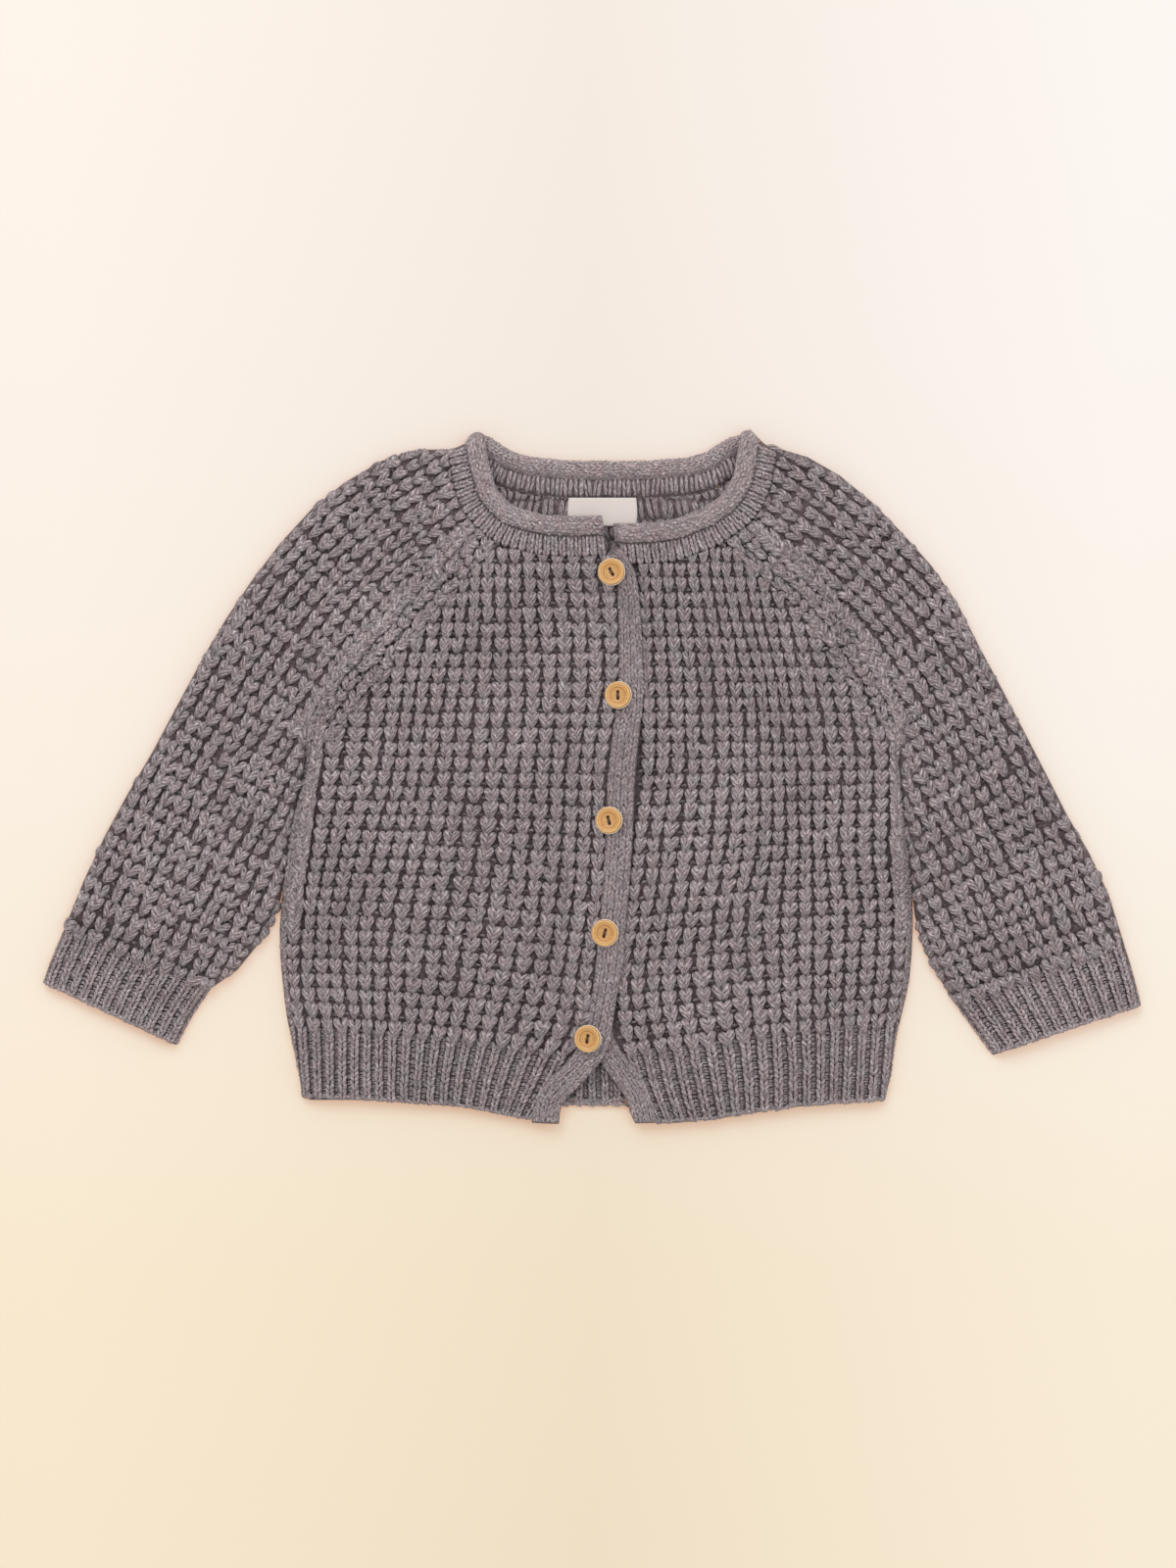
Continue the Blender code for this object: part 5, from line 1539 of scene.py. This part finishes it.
def make_neckband(yarn, base_wool):
    rng = dice(100)
    row = 1.75
    pitch = 3.7
    surface, count = swept_surface(band_section, pitch, row)
    cells = facing_up(surface, grid(np.arange(count) + 0.5, np.arange(5) + 0.2), 0.0)
    shapes = legs(FINE_LEG * (1.12, 0.95, 1.0, 1.18, 1.1), 8, 4, 5, 0.1, 0.08)
    outside = lay(surface, cells, shapes, pitch, row, rng, raised=0.75, wander=0.6)
    pitch = 4.5
    surface, count = swept_surface(band_inside, pitch, row)
    cells = facing_up(surface, grid(np.arange(count) + 0.5, np.array([BAND_WIDTH / 2 / row])), 0.0)
    shapes = legs(LONG_LEG * (1.2, 1.12, 1.5, 1.2, 1.2), 10, 9, 5, 0.14, 0.22)
    within = lay(surface, cells, shapes, pitch, row, rng, raised=0.75, wander=1.1)
    cover("neckband", "ribs", [outside, within], yarn, base_wool, GROUND_SINKS["neckband"])


def outer_side(surface, cells, row):
    """How far the roll's outer side faces up at each cell's column."""
    _, normal = surface(cells[:, 0], np.full(len(cells), ROLL_TOP / row))
    return normal[:, 2]


def make_roll(yarn, base_wool):
    rng = dice(110)
    pitch, row = 2.8, 1.6
    surface, count = swept_surface(roll_section, pitch, row)
    cells = grid(np.arange(count) + 0.5, np.arange(-6, 7))
    cells[:, 0] += 0.5 * (cells[:, 1] % 2)
    cells = facing_up(surface, cells, -0.3)
    cells = cells[outer_side(surface, cells, row) > -0.2]
    across = lay(surface, cells, purls(), pitch, row, rng, raised=0.85, wander=1.6)
    # behind the neck the stitches lie sideways
    pitch, row = 3.0, 2.8
    surface, count = swept_surface(roll_section, pitch, row)
    cells = facing_up(surface, grid(np.arange(count) + 0.5, np.arange(-4.5, 3.5)), -0.3)
    cells = cells[outer_side(surface, cells, row) <= -0.2]
    shapes = legs(MESH_LEG * (1, 1, 1.3, 1.1, 1.1), 10, 12, 5, 0.1, 0.12)
    sideways = lay(surface, cells, shapes, pitch, row, rng, raised=0.75, wander=0.9, turned=90.0)
    cover("neck_roll", "stitches", [across, sideways], yarn, base_wool, GROUND_SINKS["neck_roll"])


def make_placket(side, yarn, base_wool):
    columns, row = 5, 2.3
    surface, rows, pitch = placket_surface(*PLACKETS[side], columns, row)
    cells = grid(np.arange(columns) + 0.5, np.arange(rows) + 0.5)
    made = lay(surface, cells, fine_stitches(1.05), pitch, row, dice(120, side), raised=0.3)
    cover(f"placket_{side}", "stitches", [made], yarn, base_wool, GROUND_SINKS["placket"])


# Buttons and label

# Radius and height round a button, from the middle of its underside over the rim to the middle of its dish
BUTTON_PROFILE = [
    (0.0, 0.0), (4.6, 0.0), (5.7, 0.15), (6.3, 0.45), (6.45, 0.75), (6.42, 1.1), (6.15, 1.25), (6.1, 1.5),
    (6.15, 2.1), (6.0, 2.55), (5.5, 2.85), (5.0, 2.8), (4.2, 2.35), (3.5, 1.85), (0.0, 1.6),
]
BUTTON_SIDES = 56
HOLES = (-1.45, 1.45)
HOLE_RADIUS = 0.85
SHARP = 35                  # degrees between a button's faces that show as an edge
LEAN_REACH = 4.6            # radius on which a leaning button stands
# The thread over a button's middle: along the holes, share of its shift aside, height; and its half thickness
THREAD_LINE = [(-1.45, 1, 0.7), (-1.35, 1, 1.45), (-0.8, 1.3, 2.0), (0, 1, 2.12),
               (0.8, 0.8, 2.0), (1.35, 1, 1.45), (1.45, 1, 0.7)]
THREAD_SHIFTS = (-0.28, 0.28)
THREAD_HALVES = (0.3, 0.26)


def drill(obj, away):
    """Cuts one upright hole."""
    work = bmesh.new()
    radius = HOLE_RADIUS * MM
    bmesh.ops.create_cone(work, cap_ends=True, segments=20, radius1=radius, radius2=radius, depth=12 * MM)
    bmesh.ops.translate(work, verts=work.verts, vec=(away * MM, 0, 0))
    mesh = bpy.data.meshes.new("hole")
    work.to_mesh(mesh)
    work.free()
    cutter = placed("hole", mesh)
    cut = obj.modifiers.new("hole", "BOOLEAN")
    cut.operation = "DIFFERENCE"
    cut.object = cutter
    bpy.context.view_layer.objects.active = obj
    with bpy.context.temp_override(object=obj, active_object=obj, selected_objects=[obj]):
        bpy.ops.object.modifier_apply(modifier="hole")
    bpy.data.objects.remove(cutter)


def make_button(number, x, y, hole_angle, lean, facing, finish, thread):
    """A turned wooden button with a rim, a dish and two holes, and the thread that holds it."""
    ring = compass(np.arange(BUTTON_SIDES) * 360 / BUTTON_SIDES)
    rings = [
        np.concatenate([ring * radius, np.full((BUTTON_SIDES, 1), height)], 1)
        for radius, height in BUTTON_PROFILE[1:-1]
    ]
    points = np.vstack([*rings, [(0, 0, BUTTON_PROFILE[0][1]), (0, 0, BUTTON_PROFILE[-1][1])]])
    faces = ring_faces(len(rings), BUTTON_SIDES)
    turned = mesh_object(f"button_{number}_turned", points, faces, None, finish)
    for away in HOLES:
        drill(turned, away)
    turned.data.shade_smooth()
    turned.data.set_sharp_from_angle(angle=math.radians(SHARP))
    yarns = []
    for shift in THREAD_SHIFTS:
        line = [(along, shift * share, height, *THREAD_HALVES) for along, share, height in THREAD_LINE]
        yarns.append(tube(np.array(line), 8))
    sewn = mesh_object(f"button_{number}_thread", *join(yarns), thread)
    lean, facing = math.radians(lean), math.radians(facing)
    axis = Vector((-math.sin(facing), math.cos(facing), 0.0))
    rotation = Matrix.Rotation(lean, 4, axis) @ Matrix.Rotation(math.radians(hole_angle), 4, "Z")
    seat = FRONT_BED + OVERLAP_LIFT + PLACKET_WALL + CLEAR + LEAN_REACH * math.sin(lean)
    for piece in (turned, sewn):
        piece.location = (x * MM, y * MM, seat * MM)
        piece.rotation_euler = rotation.to_euler()
        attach(piece, "root")
    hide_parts(f"button_{number}")


def make_label(finish):
    """The blank label: a strip of satin with its ends turned under."""
    across, along, thick = 33, 15, 0.35
    u, v = np.meshgrid(np.linspace(-0.5, 0.5, across), np.linspace(-0.5, 0.5, along), indexing="ij")
    x = LABEL["x"] + u * LABEL["width"] + 0.5 * np.sin(np.pi * (v + 0.5)) * np.sign(u) * (np.abs(u) > 0.45)
    y = LABEL["y"] + v * LABEL["height"]
    rim = np.minimum(0.5 - np.abs(u), 0.12) / 0.12
    z = BACK_WALL + CLEAR + 0.75 + 0.25 * np.sin(u * 7) * (0.5 - v) + 0.15 * rim
    top = np.stack([x, y, z], -1).reshape(-1, 3)
    number = np.arange(across * along).reshape(across, along)
    below = number + across * along
    faces = []
    for i in range(across - 1):
        for j in range(along - 1):
            a, b, c, d = number[i, j], number[i + 1, j], number[i + 1, j + 1], number[i, j + 1]
            faces += [(a, b, c), (a, c, d)]
            a, b, c, d = below[i, j], below[i + 1, j], below[i + 1, j + 1], below[i, j + 1]
            faces += [(c, b, a), (d, c, a)]
    rim_line = np.concatenate([number[:, 0], number[-1, 1:], number[-2::-1, -1], number[0, -2:0:-1]])
    for a, b in zip(rim_line, np.roll(rim_line, -1)):
        faces += [(a, a + number.size, b + number.size), (a, b + number.size, b)]
    points = np.vstack([top, top - (0, 0, thick)])
    obj = mesh_object("neck_label_satin", points, np.array(faces), None, finish)
    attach(obj, "root")
    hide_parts("neck_label")


# Stage

VIEW_CENTRE = (-1.84, -3.22)
VIEW_HEIGHT = 736.0
CAMERA_HEIGHT = 2000.0
SENSOR = 36.0
FLOOR_HALF = 3.0            # metres
FLOOR_Z = -0.0001
FLOOR_PAINTED_GLOW = (0.53, 0.22, 0.11)     # share of the floor's red, green and blue that it gives off as a painted glow, which lightens and warms the shadows on it
GLOW_STRENGTH = 1.18
# Tones of the board, by y and by twice x in metres, both plus a half: darker and warmer towards the bottom,
# and painted light that leaves it lighter to both sides than in the middle, lightest and coolest to the right
BOARD_UPWARD = [(0.27, (0.886, 0.783, 0.621)), (0.50, (0.886, 0.815, 0.729)), (0.70, (0.886, 0.815, 0.761))]
BOARD_PAINTED_LIGHT_ASIDE = [(0.0, (0.900, 0.912, 0.926)), (0.5, (0.833, 0.838, 0.843)), (1.0, (0.903, 0.944, 1.0))]
LAMP_COLOUR = (1.0, 0.985, 0.97)
ROOM_COLOUR = (1.0, 0.955, 0.90, 1.0)
ROOM_STRENGTH = 0.80


def make_stage():
    mesh = bpy.data.meshes.new("floor")
    corners = [(x * FLOOR_HALF, y * FLOOR_HALF, FLOOR_Z) for x, y in ((-1, -1), (1, -1), (1, 1), (-1, 1))]
    mesh.from_pydata(corners, [], [(0, 1, 2, 3)])
    n = Nodes("pale_board")
    split = n.add("ShaderNodeSeparateXYZ", inputs={0: n.local})
    upward = n.ramp(n.math("ADD", split.outputs[1], 0.5), BOARD_UPWARD)
    # painted light: the board is lighter to its sides than in its middle
    aside = n.ramp(n.math("ADD", n.math("MULTIPLY", split.outputs[0], 2.0), 0.5), BOARD_PAINTED_LIGHT_ASIDE)
    board = n.multiply(upward, aside)
    # the floor glows with a share of its own colour: painted light that keeps its shadows light and warm
    n.link(n.multiply(board, (*(1 - share for share in FLOOR_PAINTED_GLOW), 1.0)), "Base Color")
    n.link(n.multiply(board, (*FLOOR_PAINTED_GLOW, 1.0)), "Emission Color")
    n.set(Roughness=0.8, Emission_Strength=GLOW_STRENGTH)
    mesh.materials.append(n.material)
    placed("floor", mesh)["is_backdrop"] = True


def make_camera():
    data = bpy.data.cameras.new("camera")
    data.sensor_width = SENSOR
    data.lens = SENSOR * CAMERA_HEIGHT / VIEW_HEIGHT
    data.clip_end = 10.0
    camera = placed("camera", data)
    camera.location = (VIEW_CENTRE[0] * MM, VIEW_CENTRE[1] * MM, CAMERA_HEIGHT * MM)
    bpy.context.scene.camera = camera


def make_light(name, place, size, power):
    data = bpy.data.lights.new(name, "AREA")
    data.shape = "RECTANGLE"
    data.size, data.size_y = size
    data.energy = power
    data.color = LAMP_COLOUR
    lamp = placed(name, data)
    lamp.location = place
    direction = np.array(place) / -np.linalg.norm(place)
    lamp.rotation_euler = Vector(direction).to_track_quat("-Z", "Y").to_euler()


def make_lights():
    make_light("key", (-0.6, 1.5, 1.9), (1.8, 1.4), 24)
    make_light("fill", (0.9, 0.2, 2.1), (1.8, 1.8), 9)
    world = bpy.data.worlds.new("room")
    world.use_nodes = True
    background = world.node_tree.nodes["Background"]
    background.inputs["Color"].default_value = ROOM_COLOUR
    background.inputs["Strength"].default_value = ROOM_STRENGTH
    bpy.context.scene.world = world
    bpy.context.scene.view_settings.view_transform = "Standard"


def main():
    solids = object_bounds()
    yarn = wool("wool_thick", "thick", (0.895, 0.893, 0.893))
    front_yarn = wool("wool_thick_front", "thick", (0.885, 0.883, 0.883))
    ribs = wool("wool_fine", "fine")
    light = wool("wool_fine_light", "fine", (1.07, 1.07, 1.07))
    lightest = wool("wool_roll", "fine", (1.26, 1.25, 1.23))
    # The grounds behind the stitches are far darker than the yarn laid on them: painted shade in the gaps
    # between the stitches.
    base = wool("wool_ground_shade", tone=(0.38, 0.34, 0.345))
    rib_ground_shade = wool("wool_rib_ground_shade", tone=(0.46, 0.42, 0.425))
    sleeve_ground_shade = wool("wool_sleeve_ground_shade", tone=(0.37, 0.335, 0.34))
    roll_ground_shade = wool("wool_roll_ground_shade", tone=(0.85, 0.82, 0.82))
    make_camera()
    make_stage()
    make_lights()
    for side in ("right", "left"):
        make_front(side, front_yarn, base)
        make_hem(side, ribs, rib_ground_shade)
        make_sleeve(side, yarn, sleeve_ground_shade)
        make_cuff(side, light, rib_ground_shade)
        make_placket(side, ribs, rib_ground_shade)
    make_back(ribs, rib_ground_shade)
    make_neckband(light, rib_ground_shade)
    make_roll(lightest, roll_ground_shade)
    finish, thread = wood("button_wood_turned"), cotton("sewing_thread")
    for number, row in enumerate(BUTTONS, 1):
        make_button(number, *row, finish, thread)
    make_label(satin("label_satin_woven"))
    return solids


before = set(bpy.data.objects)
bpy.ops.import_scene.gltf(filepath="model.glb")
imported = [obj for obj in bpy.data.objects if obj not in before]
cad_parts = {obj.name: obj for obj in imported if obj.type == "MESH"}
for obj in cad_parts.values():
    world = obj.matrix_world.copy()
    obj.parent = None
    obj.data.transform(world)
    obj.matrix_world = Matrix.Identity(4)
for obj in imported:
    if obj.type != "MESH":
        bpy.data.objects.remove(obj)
cad_box = main()
